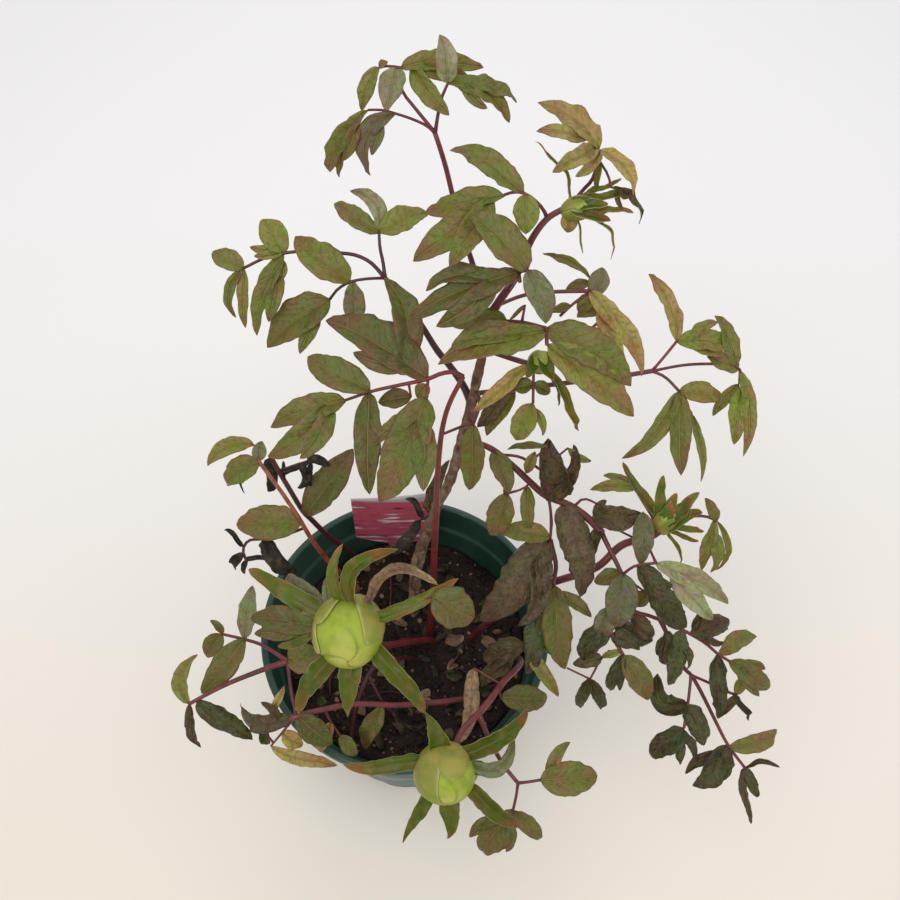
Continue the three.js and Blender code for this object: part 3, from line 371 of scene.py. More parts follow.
class Recipe:
    """A material under construction: short words for the nodes that it is made of."""

    def __init__(self, name: str, **sockets: float | tuple) -> None:
        """Makes the material and sets its shader's own sockets.

        Args:
            name: The material's name.
            **sockets: The values, by socket.
        """
        self.material = bpy.data.materials.new(name)
        self.material.use_nodes = True
        self.tree = self.material.node_tree
        self.shader = self.tree.nodes["Principled BSDF"]
        for key, value in sockets.items():
            self.shader.inputs[key.replace("_", " ").title().replace("Ior", "IOR")].default_value = value

    def node(self, kind: str, **settings: object) -> bpy.types.Node:
        """Adds a node and sets its properties.

        Args:
            kind: Its type.
            **settings: Its properties.

        Returns:
            The new node.
        """
        made = self.tree.nodes.new(kind)
        for key, value in settings.items():
            setattr(made, key, value)
        return made

    def feed(self, socket: bpy.types.NodeSocket, value: object) -> None:
        """Links a socket to an output, or sets its value.

        Args:
            socket: The socket.
            value: The output or the value.
        """
        if isinstance(value, bpy.types.NodeSocket):
            self.tree.links.new(value, socket)
        elif isinstance(value, tuple) and len(value) == 3 and socket.type == "RGBA":
            socket.default_value = (*value, 1.0)
        else:
            socket.default_value = value

    def trait(self, name: str) -> bpy.types.NodeSocket:
        """Reads one of the mesh's attributes."""
        made = self.node("ShaderNodeAttribute", attribute_name=name)
        return made.outputs["Color" if name == "tone" else "Fac"]

    def sum(self, operation: str, *values: object) -> bpy.types.NodeSocket:
        """Works out a number from others.

        Args:
            operation: The kind of sum.
            *values: What it is worked out from.

        Returns:
            The sum.
        """
        made = self.node("ShaderNodeMath", operation=operation)
        for socket, value in zip(made.inputs, values):
            self.feed(socket, value)
        return made.outputs[0]

    def span(self, value: object, low: float, high: float, start: float = 0.0, end: float = 1.0,
             ) -> bpy.types.NodeSocket:
        """Maps a value smoothly from one range to another.

        Args:
            value: The value to map.
            low: Where the source range starts.
            high: Where the source range ends.
            start: What low becomes.
            end: What high becomes.

        Returns:
            The mapped value.
        """
        made = self.node("ShaderNodeMapRange", interpolation_type="SMOOTHSTEP")
        for socket, number in zip(made.inputs, (value, low, high, start, end)):
            self.feed(socket, number)
        return made.outputs[0]

    def grain(self, scale: float, detail: float = 3.0, stretch: Colour | None = None,
              kind: str = "ShaderNodeTexNoise") -> bpy.types.NodeSocket:
        """Makes a pattern in the object's own space, with scale in waves per metre.

        Args:
            scale: How fine the pattern is.
            detail: How many finer layers it has.
            stretch: How it is scaled along each axis.
            kind: Which texture it is.

        Returns:
            The pattern's strength.
        """
        coordinates = self.node("ShaderNodeTexCoord").outputs["Object"]
        if stretch:
            mapping = self.node("ShaderNodeMapping")
            mapping.inputs["Scale"].default_value = stretch
            self.feed(mapping.inputs["Vector"], coordinates)
            coordinates = mapping.outputs[0]
        made = self.node(kind)
        self.feed(made.inputs["Vector"], coordinates)
        made.inputs["Scale"].default_value = scale
        if "Detail" in made.inputs:
            made.inputs["Detail"].default_value = detail
        return made.outputs["Distance" if "Distance" in made.outputs else "Fac"]

    def mix(self, share: object, first: object, second: object, way: str = "MIX") -> bpy.types.NodeSocket:
        """Mixes two colours.

        Args:
            share: The part of the second colour.
            first: The first colour.
            second: The second colour.
            way: How they are mixed.

        Returns:
            The mixed colour.
        """
        made = self.node("ShaderNodeMix", data_type="RGBA", blend_type=way)
        self.feed(made.inputs[0], share)
        self.feed(made.inputs[6], first)
        self.feed(made.inputs[7], second)
        return made.outputs[2]

    def bump(self, height: object, strength: float, distance: float) -> None:
        """Raises the surface by a height pattern; a second call adds to the first.

        Args:
            height: The pattern.
            strength: How strongly it shows.
            distance: How far it raises, in metres.
        """
        made = self.node("ShaderNodeBump")
        made.inputs["Strength"].default_value = strength
        made.inputs["Distance"].default_value = distance
        self.feed(made.inputs["Height"], height)
        normal = self.shader.inputs["Normal"]
        if normal.is_linked:
            self.feed(made.inputs["Normal"], normal.links[0].from_socket)
        self.feed(normal, made.outputs[0])

    def wear(self, key: str, value: bpy.types.NodeSocket) -> None:
        """Feeds one of the shader's sockets."""
        self.feed(self.shader.inputs[key], value)


@dataclass(frozen=True)
class LeafFinish:
    """Satin living leaf: mottled, quilted between its veins, with a red-brown margin."""

    vein: Colour = paint(136, 122, 76)
    shadow: Colour = (0.66, 0.76, 0.52)
    margin: Colour = paint(122, 68, 50)
    rust: Colour = (1.14, 0.84, 0.98)
    underside: Colour = paint(132, 136, 98)
    fresh: Colour = (0.93, 1.18, 0.64)
    vein_spacing: float = 5.2
    vein_share: float = 0.38
    crumple: float = 0.35

    def make(self, name: str) -> bpy.types.Material:
        """Makes the material.

        Args:
            name: Its name.

        Returns:
            The new material.
        """
        recipe = Recipe(name, roughness=0.45, specular_ior_level=0.34, subsurface_weight=0.04)
        along, aside, edge = (recipe.trait(key) for key in ("along", "aside", "edge"))
        blotches = recipe.grain(75.0, 4.0)
        speckle = recipe.grain(900.0, 2.0)
        quilt = recipe.grain(420.0, 3.0)
        colour = recipe.mix(recipe.span(blotches, 0.42, 0.66), recipe.trait("tone"), self.rust, "MULTIPLY")
        colour = recipe.mix(recipe.span(quilt, 0.46, 0.66), colour, self.shadow, "MULTIPLY")
        colour = recipe.mix(recipe.span(recipe.grain(190.0, 3.0), 0.4, 0.66), colour, self.fresh, "MULTIPLY")
        wobble = recipe.sum("MULTIPLY", recipe.grain(110.0, 2.0), 9.0)
        forward = recipe.sum("SUBTRACT", recipe.sum("MULTIPLY", aside, 1.1), wobble)
        turns = recipe.sum("DIVIDE", recipe.sum("SUBTRACT", along, forward), self.vein_spacing)
        wave = recipe.sum("ABSOLUTE", recipe.sum("SUBTRACT", recipe.sum("FRACT", turns), 0.5))
        inside = recipe.sum("MULTIPLY", recipe.span(edge, 0.96, 0.55), recipe.span(aside, 0.4, 2.4))
        side_vein = recipe.sum("MULTIPLY", recipe.span(wave, 0.16, 0.0), inside)
        middle_vein = recipe.span(aside, 0.7, 0.15)
        colour = recipe.mix(recipe.sum("MULTIPLY", side_vein, 0.2), colour, self.vein)
        colour = recipe.mix(recipe.sum("MULTIPLY", middle_vein, self.vein_share), colour, self.vein)
        ragged = recipe.sum("ADD", edge, recipe.span(blotches, 0.3, 0.7, -0.3, 0.12))
        colour = recipe.mix(recipe.span(ragged, 0.86, 1.06, 0.0, 0.6), colour, self.margin)
        colour = recipe.mix(recipe.sum("MULTIPLY", recipe.trait("under"), 0.45), colour, self.underside)
        recipe.wear("Base Color", colour)
        recipe.wear("Roughness", recipe.span(speckle, 0.3, 0.7, 0.38, 0.56))
        recipe.bump(side_vein, 0.45, -0.0009)
        recipe.bump(middle_vein, 0.6, -0.0009)
        recipe.bump(recipe.grain(240.0, 4.0), self.crumple, 0.0014)
        return recipe.material


@dataclass(frozen=True)
class DryLeafFinish:
    """Crumpled failing leaf: near-black painted shade in patches meant as hollows, a painted highlight on the
    crests of its crumple, and a papery roughness.
    """

    # Painted highlight, laid where the crumple pattern that also bumps the surface is high.
    ridge_highlight: Colour = paint(104, 92, 68)
    # Painted shade for the hollows, laid in dark patches; depth sets how strong it is.
    hollow: Colour = paint(26, 20, 18)
    depth: float = 0.7
    roughness: float = 0.7

    def make(self, name: str) -> bpy.types.Material:
        """Makes the material.

        Args:
            name: Its name.

        Returns:
            The new material.
        """
        recipe = Recipe(name, specular_ior_level=0.3)
        crumple = recipe.grain(220.0, 6.0)
        patches = recipe.grain(70.0, 3.0)
        # Painted shade in the hollows first, then the painted highlight on the crumple's crests.
        hollow_shade = recipe.span(patches, 0.35, 0.65, 0.0, self.depth)
        colour = recipe.mix(hollow_shade, recipe.trait("tone"), self.hollow)
        colour = recipe.mix(recipe.span(crumple, 0.5, 0.72, 0.0, 0.5), colour, self.ridge_highlight)
        recipe.wear("Base Color", colour)
        recipe.wear("Roughness", recipe.span(crumple, 0.3, 0.7, self.roughness - 0.15, self.roughness + 0.15))
        recipe.bump(crumple, 0.9, 0.002)
        recipe.bump(recipe.span(recipe.trait("aside"), 0.9, 0.2), 0.5, 0.0005)
        return recipe.material


@dataclass(frozen=True)
class StalkFinish:
    """Smooth waxy stalk with darker freckles and long streaks."""

    freckle: Colour = paint(62, 26, 30)

    def make(self, name: str) -> bpy.types.Material:
        """Makes the material.

        Args:
            name: Its name.

        Returns:
            The new material.
        """
        recipe = Recipe(name, roughness=0.38, specular_ior_level=0.45)
        tone = recipe.trait("tone")
        streak = recipe.grain(130.0, 3.0)
        spots = recipe.grain(1400.0, 2.0)
        colour = recipe.mix(recipe.span(streak, 0.4, 0.65, 0.0, 0.45), tone, self.freckle)
        colour = recipe.mix(recipe.span(spots, 0.6, 0.72, 0.0, 0.35), colour, self.freckle)
        recipe.wear("Base Color", colour)
        recipe.wear("Roughness", recipe.span(streak, 0.3, 0.7, 0.3, 0.5))
        recipe.bump(spots, 0.2, 0.0003)
        return recipe.material


@dataclass(frozen=True)
class BarkFinish:
    """Old bark: tan, cracked along its length, with grey scurf and dark seams."""

    seam: Colour = paint(66, 46, 34)
    scurf: Colour = paint(176, 158, 134)

    def make(self, name: str) -> bpy.types.Material:
        """Makes the material.

        Args:
            name: Its name.

        Returns:
            The new material.
        """
        recipe = Recipe(name, roughness=0.8, specular_ior_level=0.2)
        seams = recipe.grain(90.0, 6.0, (3.0, 3.0, 0.7))
        scurf = recipe.grain(160.0, 5.0)
        flakes = recipe.grain(420.0, 1.0, (2.0, 2.0, 0.8), "ShaderNodeTexVoronoi")
        colour = recipe.mix(recipe.span(scurf, 0.48, 0.68, 0.0, 0.6), recipe.trait("tone"), self.scurf)
        colour = recipe.mix(recipe.span(seams, 0.48, 0.36, 0.0, 0.65), colour, self.seam)
        colour = recipe.mix(recipe.span(flakes, 0.35, 0.6, 0.0, 0.3), colour, self.seam)
        recipe.wear("Base Color", colour)
        recipe.wear("Roughness", recipe.span(scurf, 0.3, 0.7, 0.7, 0.95))
        recipe.bump(seams, 0.8, 0.002)
        recipe.bump(flakes, 0.4, 0.0006)
        return recipe.material


@dataclass(frozen=True)
class BudFinish:
    """Cool smooth bud tissue with fine long streaks and a soft blush at its margins."""

    blush: Colour = paint(158, 118, 78)
    rim: Colour = paint(206, 206, 150)
    streak: Colour = paint(92, 118, 40)
    shadow: Colour = (0.72, 0.8, 0.62)

    def make(self, name: str) -> bpy.types.Material:
        """Makes the material.

        Args:
            name: Its name.

        Returns:
            The new material.
        """
        recipe = Recipe(name, roughness=0.46, specular_ior_level=0.28, subsurface_weight=0.1)
        wave = recipe.sum("SINE", recipe.sum("MULTIPLY", recipe.trait("aside"), 5.2))
        blotches = recipe.grain(150.0, 3.0)
        breaks = recipe.span(blotches, 0.35, 0.65, 0.1, 0.7)
        broken = recipe.sum("MULTIPLY", recipe.span(wave, 0.2, 1.0), breaks)
        colour = recipe.mix(recipe.sum("MULTIPLY", broken, 0.3), recipe.trait("tone"), self.streak)
        colour = recipe.mix(recipe.span(blotches, 0.5, 0.72, 0.0, 0.2), colour, self.blush)
        colour = recipe.mix(recipe.span(recipe.grain(90.0, 3.0), 0.45, 0.7), colour, self.shadow, "MULTIPLY")
        colour = recipe.mix(recipe.span(recipe.trait("edge"), 0.93, 1.0, 0.0, 0.45), colour, self.rim)
        colour = recipe.mix(recipe.sum("MULTIPLY", recipe.trait("under"), 0.25), colour, self.rim)
        recipe.wear("Base Color", colour)
        recipe.wear("Roughness", recipe.span(blotches, 0.3, 0.7, 0.36, 0.52))
        recipe.bump(broken, 0.15, 0.0004)
        recipe.bump(recipe.grain(500.0, 2.0), 0.12, 0.0004)
        return recipe.material


@dataclass(frozen=True)
class PotFinish:
    """Moulded plastic, dusty on the outside and splashed with dried soil."""

    plastic: Colour = paint(30, 62, 50)
    dust: Colour = paint(96, 116, 106)
    mud: Colour = paint(92, 78, 60)

    def make(self, name: str) -> bpy.types.Material:
        """Makes the material.

        Args:
            name: Its name.

        Returns:
            The new material.
        """
        recipe = Recipe(name, roughness=0.4, specular_ior_level=0.5)
        height = recipe.node("ShaderNodeSeparateXYZ")
        recipe.feed(height.inputs[0], recipe.node("ShaderNodeTexCoord").outputs["Object"])
        clouds = recipe.grain(26.0, 6.0)
        scuffs = recipe.grain(60.0, 5.0, (1.0, 1.0, 6.0))
        low = recipe.span(height.outputs["Z"], 0.15, 0.04)
        dusty = recipe.sum("MULTIPLY", recipe.span(clouds, 0.3, 0.62), recipe.sum("ADD", low, 0.12))
        colour = recipe.mix(recipe.sum("MULTIPLY", dusty, 0.75), self.plastic, self.dust)
        colour = recipe.mix(recipe.span(scuffs, 0.62, 0.75, 0.0, 0.4), colour, self.mud)
        recipe.wear("Base Color", colour)
        recipe.wear("Roughness", recipe.span(clouds, 0.3, 0.7, 0.3, 0.62))
        recipe.bump(recipe.grain(1500.0, 2.0), 0.08, 0.0002)
        recipe.bump(scuffs, 0.1, 0.0004)
        return recipe.material


@dataclass(frozen=True)
class SoilFinish:
    """Moist potting soil: dark crumbs with paler fibres and grit, and near-black painted shade along the
    edges of its clods.
    """

    fibre: Colour = paint(96, 70, 46)

    def make(self, name: str) -> bpy.types.Material:
        """Makes the material.

        Args:
            name: Its name.

        Returns:
            The new material.
        """
        recipe = Recipe(name, roughness=0.85, specular_ior_level=0.3)
        crumbs = recipe.grain(420.0, 5.0)
        clods = recipe.grain(110.0, 1.0, None, "ShaderNodeTexVoronoi")
        colour = recipe.mix(recipe.span(crumbs, 0.55, 0.72, 0.0, 0.6), recipe.trait("tone"), self.fibre)
        # Near-black painted shade along the cell edges of the clods, for the crevices between them.
        colour = recipe.mix(recipe.span(clods, 0.3, 0.7, 0.0, 0.4), colour, (0.004, 0.003, 0.003))
        recipe.wear("Base Color", colour)
        recipe.wear("Roughness", recipe.span(crumbs, 0.3, 0.7, 0.6, 0.95))
        recipe.bump(crumbs, 0.9, 0.0015)
        recipe.bump(clods, 0.5, 0.001)
        return recipe.material


@dataclass(frozen=True)
class LabelFinish:
    """A glossy printed sheet: streaks of pink and red under a clear grey band."""

    red: Colour = paint(150, 18, 38)
    pink: Colour = paint(212, 104, 126)
    white: Colour = paint(236, 230, 226)
    band: Colour = paint(196, 190, 190)

    def make(self, name: str) -> bpy.types.Material:
        """Makes the material.

        Args:
            name: Its name.

        Returns:
            The new material.
        """
        recipe = Recipe(name, roughness=0.3, specular_ior_level=0.4, coat_weight=0.15)
        place = recipe.node("ShaderNodeSeparateXYZ")
        recipe.feed(place.inputs[0], recipe.node("ShaderNodeTexCoord").outputs["Object"])
        petals = recipe.grain(34.0, 2.0, (1.0, 1.0, 3.2), "ShaderNodeTexVoronoi")
        streaks = recipe.grain(60.0, 4.0, (0.6, 1.0, 4.0))
        colour = recipe.mix(recipe.span(petals, 0.3, 0.75, 0.0, 0.8), self.red, self.pink)
        colour = recipe.mix(recipe.span(streaks, 0.56, 0.64), colour, self.white)
        colour = recipe.mix(recipe.span(place.outputs["Z"], 0.232, 0.236), colour, self.band)
        recipe.wear("Base Color", colour)
        recipe.wear("Roughness", recipe.span(streaks, 0.3, 0.7, 0.24, 0.4))
        recipe.bump(recipe.grain(24.0, 2.0), 0.15, 0.001)
        return recipe.material


@dataclass(frozen=True)
class FloorFinish:
    """A plain pale studio floor, warm in front and cool far behind."""

    warm: Colour = paint(228, 217, 198)
    pale: Colour = paint(240, 237, 235)

    def make(self, name: str) -> bpy.types.Material:
        """Makes the material.

        Args:
            name: Its name.

        Returns:
            The new material.
        """
        recipe = Recipe(name, roughness=0.7, specular_ior_level=0.2)
        place = recipe.node("ShaderNodeSeparateXYZ")
        recipe.feed(place.inputs[0], recipe.node("ShaderNodeTexCoord").outputs["Object"])
        colour = recipe.mix(recipe.span(place.outputs["Y"], -0.45, 0.75), self.warm, self.pale)
        clouds = recipe.span(recipe.grain(2.0, 2.0), 0.3, 0.7, 0.0, 0.2)
        recipe.wear("Base Color", recipe.mix(clouds, colour, self.pale))
        return recipe.material

@dataclass
class Tube:
    """A smooth round stalk along its axis, a little swollen where it starts."""

    axis: list[Vector]
    start_radius: float
    end_radius: float
    shade: Shade
    swell: float = 0.22
    rough: float = 0.0
    sides: int = 10

    def dress(self, skin: Skin, slot: int) -> None:
        """Adds the stalk to a mesh.

        Args:
            skin: The mesh that grows.
            slot: The finish of the stalk.
        """
        rows: list[list[int]] = []
        side = (self.axis[1] - self.axis[0]).orthogonal().normalized()
        last = len(self.axis) - 1
        walked = 0.0
        for order, place in enumerate(self.axis):
            ahead = (self.axis[min(last, order + 1)] - self.axis[max(0, order - 1)]).normalized()
            side = (side - ahead * side.dot(ahead)).normalized()
            other = ahead.cross(side)
            share = order / last
            radius = self.start_radius + (self.end_radius - self.start_radius) * share
            radius *= 1.0 + self.swell * math.exp(-(walked / (2.5 * self.start_radius)) ** 2)
            colour = blend(self.shade.base, self.shade.blotch, 0.5 + noise.noise(place * 0.06))
            colour = blend(colour, self.shade.tip, 0.7 * share * share)
            row = []
            for corner in range(self.sides):
                turn = 2.0 * math.pi * corner / self.sides
                out = side * math.cos(turn) + other * math.sin(turn)
                bumpy = 1.0 + self.rough * noise.noise((place + out * radius) * 0.16)
                row.append(skin.add(place + out * radius * bumpy, colour, along=walked))
            rows.append(row)
            walked += (self.axis[min(last, order + 1)] - place).length
        skin.grid(rows, slot, closed=True)
        for row, place, back in ((rows[0], self.axis[0], -1.0), (rows[-1], self.axis[-1], 1.0)):
            self.cap(skin, slot, row, place, back)

    def cap(self, skin: Skin, slot: int, row: list[int], place: Vector, back: float) -> None:
        """Closes one end with a low dome.

        Args:
            skin: The mesh that grows.
            slot: The finish of the dome.
            row: The end's ring of vertices.
            place: The end of the axis.
            back: 1 at the far end and -1 at the start.
        """
        first, last = (self.axis[-2], self.axis[-1]) if back > 0 else (self.axis[1], self.axis[0])
        radius = (skin.places[row[0]] - place).length
        crown = skin.add(place + (last - first).normalized() * radius * 0.6, skin.tones[row[0]])
        for here in range(len(row)):
            pair = (row[here], row[(here + 1) % len(row)])
            skin.face((*(pair if back > 0 else pair[::-1]), crown), slot)


class Blade:
    """A leaflet, lobe or bract: a thin blade with its rib, arch, fold and wavy margin."""

    stations = 20
    ribs_across = 6
    thickness = 0.62
    vein_rise = 0.35
    valley = 0.42
    tip_swing = 0.05
    raggedness = 0.16
    lobe_room = 0.8
    lobe_width = 0.17
    lobe_lean = 10.0

    def __init__(self, base: Vector, tip: Vector, leaflet: Leaflet, shade: Shade, seed: float) -> None:
        """Works out the blade's frame.

        Args:
            base: Where it starts.
            tip: Where it ends.
            leaflet: Its width, lobes, bow and lean.
            shade: Its colours.
            seed: What sets its waves and blotches apart from those of the others.
        """
        self.base, self.leaflet, self.shade, self.seed = base, leaflet, shade, seed
        self.light = 1.0 + 0.26 * self.hazard(5) * abs(self.hazard(6))
        self.length = max(LEAST_LENGTH, (tip - base).length)
        self.along = (tip - base).normalized()
        normal = (LIGHTWARD - self.along * LIGHTWARD.dot(self.along)).normalized()
        normal.rotate(Quaternion(self.along, math.radians(leaflet.lean)))
        self.normal = normal
        self.across = normal.cross(self.along)
        seen_across = SIGHT.forward.cross(self.along).normalized()
        facing = max(LEAST_FACING, abs(self.across.dot(seen_across)))
        self.scale = SIGHT.scale(base.lerp(tip, 0.5))
        self.half = 0.5 * leaflet.width * self.scale / facing
        self.lobes = [self.on_blade(*lobe) for lobe in leaflet.lobes]
        self.halves = [self.half_beside(side) for side in (-1.0, 1.0)]

    def on_blade(self, u: float, v: float) -> Vector:
        """Gives the point of the flat blade that lies on a line of sight.

        Args:
            u: How far right it is in the image.
            v: How far down.

        Returns:
            Its distances along and across.
        """
        sight = SIGHT.line(u, v)
        eye = Vector(SIGHT.eye)
        offset = eye + sight * ((self.base - eye).dot(self.normal) / sight.dot(self.normal)) - self.base
        return Vector((offset.dot(self.along), offset.dot(self.across), 0.0))

    def half_beside(self, side: float) -> float:
        """Gives the half width on one side: less where a side lobe needs the room.

        Args:
            side: 1 or -1.

        Returns:
            The half width.
        """
        gaps = [side * (lobe.y - self.rib(lobe.x)) for lobe in self.lobes]
        gaps = [gap for gap in gaps if gap > 0]
        return max(0.5 * self.half, min([self.half, *(self.lobe_room * gap for gap in gaps)]))

    def hazard(self, order: int) -> float:
        """Gives one of the blade's own chance numbers, from -1 to 1."""
        return math.sin(self.seed * 12.9898 + order * 78.233)

    def rib(self, s: float) -> float:
        """Gives the sideways bow of the midrib at a distance along the blade.

        Args:
            s: The distance.

        Returns:
            The bow.
        """
        x = s / self.length
        swing = (self.tip_swing + 0.25 * self.shade.curl) * self.hazard(1) * self.length
        bow = 4.0 * self.leaflet.bow * self.scale * x * (1.0 - x)
        return bow + swing * x * math.sin(math.pi * min(1.0, x))

    def ovate(self, x: float) -> float:
        """Gives the width of the outline, from its base at 0 to its tip at 1, as a share of its widest."""
        return max(0.0, math.sin(math.pi * x ** self.shade.widest)) ** self.shade.fullness

    def relief(self, x: float, off: float) -> float:
        """Gives how far the blade rises where it folds, droops and twists.

        Args:
            x: How far along the blade the point lies, from 0 to 1.
            off: Its distance from the midrib, signed.

        Returns:
            The rise in millimetres.
        """
        curl = self.shade.curl
        share = min(1.2, abs(off) / max(1.0, *self.halves))
        fold = self.valley * abs(off) * (1.0 - share)
        twist = (0.3 + 0.7 * curl) * self.hazard(2) * off * (x - 0.3)
        droop = (0.03 + 0.05 * abs(self.hazard(3)) + 0.3 * max(0.0, curl - 0.2)) * self.length * x ** 3
        return 4.0 * BLADE_ARCH * self.length * x * (1.0 - x) + BLADE_FOLD * abs(off) + fold + twist - droop

    def lifted(self, point: Vector, edge: float, side: float) -> Vector:
        """Gives the place of a point of the flat blade.

        Args:
            point: The distances along and across.
            edge: How near the margin it is, from 0 to 1.
            side: 1 for the upper face and -1 for the lower one.

        Returns:
            The place in millimetres.
        """
        s, t = point.x, point.y
        rib = self.rib(s)
        off = t - rib
        x = min(1.0, max(0.0, s / self.length))
        reach = max(1.0, *self.halves)
        turn = max(0.02, self.shade.curl * 1.9)
        roll = min(1.35, abs(off) / reach) * turn
        off = math.copysign(reach * math.sin(roll) / turn, off)
        cup = reach * (1.0 - math.cos(roll)) / turn
        if self.shade.curl > 0.3 and self.hazard(4) < -0.2:
            cup = -cup
        wave = noise.noise(Vector((s * 0.16, t * 0.16, self.seed)))
        ripple = noise.noise(Vector((s * 0.45, t * 0.45, self.seed + 7.0)))
        size = min(1.0, self.length / 30.0)
        lift = self.relief(x, off) + cup
        lift += size * (1.6 + 4.0 * self.shade.curl) * wave * (0.3 + edge)
        lift += size * (0.7 + 1.4 * self.shade.curl) * ripple * edge * edge
        groove = -self.vein_rise * math.exp(-(abs(t - rib) / 0.7) ** 2) * (1.0 - x)
        keel = 0.5 * self.thickness + (2.2 * -groove if side < 0 else 0.0)
        return (self.base + self.along * s + self.across * (rib + off)
                + self.normal * (lift + groove + side * keel))

    def colour(self, point: Vector, edge: float) -> Colour:
        """Gives the colour of a point of the flat blade.

        Args:
            point: Its distances along and across.
            edge: How near the margin it is, from 0 to 1.

        Returns:
            The colour.
        """
        x = point.x / self.length
        patch = noise.noise(Vector((point.x * 0.09, point.y * 0.09, self.seed + 3.0)))
        colour = blend(self.shade.base, self.shade.blotch, 0.45 + 0.9 * patch)
        colour = blend(colour, self.shade.tip, ease(x + 0.25 * patch, 0.66, 1.1) * 0.7)
        colour = blend(colour, self.shade.tip, ease(edge + 0.4 * patch, 0.86, 1.25) * 0.5)
        return tuple(part * self.light for part in colour)

    def side_lobes(self) -> list["Blade"]:
        """Makes the side lobes: smaller blades that spring from near the base and tuck under this one.

        Returns:
            The side lobes.
        """
        made = []
        for order, lobe in enumerate(self.lobes):
            start = min(0.2 * self.length, 0.3 * max(0.0, lobe.x))
            root = self.lifted(Vector((start, self.rib(start), 0.0)), 0.0, -1.0)
            off = lobe.y - self.rib(lobe.x)
            x = min(1.0, max(0.0, lobe.x / self.length))
            rise = 4.0 * BLADE_ARCH * self.length * x * (1.0 - x) + BLADE_FOLD * abs(off)
            end = self.base + self.along * lobe.x + self.across * lobe.y + self.normal * rise
            side = math.copysign(1.0, off)
            span = (end - root).length
            half = max(self.lobe_width * span, 0.4 * self.half)
            shape = replace(self.leaflet, lobes=[], bow=side * 0.07 * span / self.scale,
                            lean=self.leaflet.lean - side * self.lobe_lean)
            blade = Blade(root, end, shape, self.shade, self.seed + LOBE_SEED_STEP * (order + 1))
            blade.halves, blade.light = [half, half], self.light
            made.append(blade)
        return made

    def rows(self) -> list[list[tuple[Vector, float]]]:
        """Lays out the flat blade: rows of points across it, each with its nearness to the margin.

        Returns:
            The rows.
        """
        rows = []
        for order in range(self.stations + 1):
            x = order / self.stations
            s = self.length * x
            slope = self.rib(s + 0.5) - self.rib(s - 0.5)
            side = Vector((-slope, 1.0, 0.0)).normalized() * max(LEAST_TIP, self.ovate(x))
            middle = Vector((s, self.rib(s), 0.0))
            ragged = self.raggedness * (0.6 + 2.2 * self.shade.curl)
            reach = [half * (1.0 + ragged * noise.noise(Vector((s * 0.17, self.seed, 2.0 + 5.0 * which)))
                             + 0.4 * ragged * noise.noise(Vector((s * 0.5, self.seed, 4.0 + which))))
                     for which, half in enumerate(self.halves)]
            shares = [k / self.ribs_across for k in range(-self.ribs_across, self.ribs_across + 1)]
            rows.append([(middle + side * share * reach[share > 0], max(abs(share), ease(x, 0.86, 1.0)))
                         for share in shares])
        return rows

    def dress(self, skin: Skin, slot: int) -> None:
        """Adds the blade to a mesh, after its side lobes.

        Args:
            skin: The mesh that grows.
            slot: The finish in it.
        """
        for lobe in self.side_lobes():
            lobe.dress(skin, slot)
        rows = self.rows()
        upper, lower = ([[skin.add(self.lifted(point, edge, side), self.colour(point, edge), edge,
                                   1.0 if side < 0 else 0.0, point.x, abs(point.y - self.rib(point.x)))
                          for point, edge in row] for row in rows] for side in (1.0, -1.0))
        skin.grid([row[::-1] for row in upper], slot)
        skin.grid(lower, slot)
        rims = [[*face[0], *(row[-1] for row in face[1:-1]), *face[-1][::-1],
                 *(row[0] for row in face[-2:0:-1])] for face in (upper, lower)]
        skin.grid(rims, slot, closed=True)


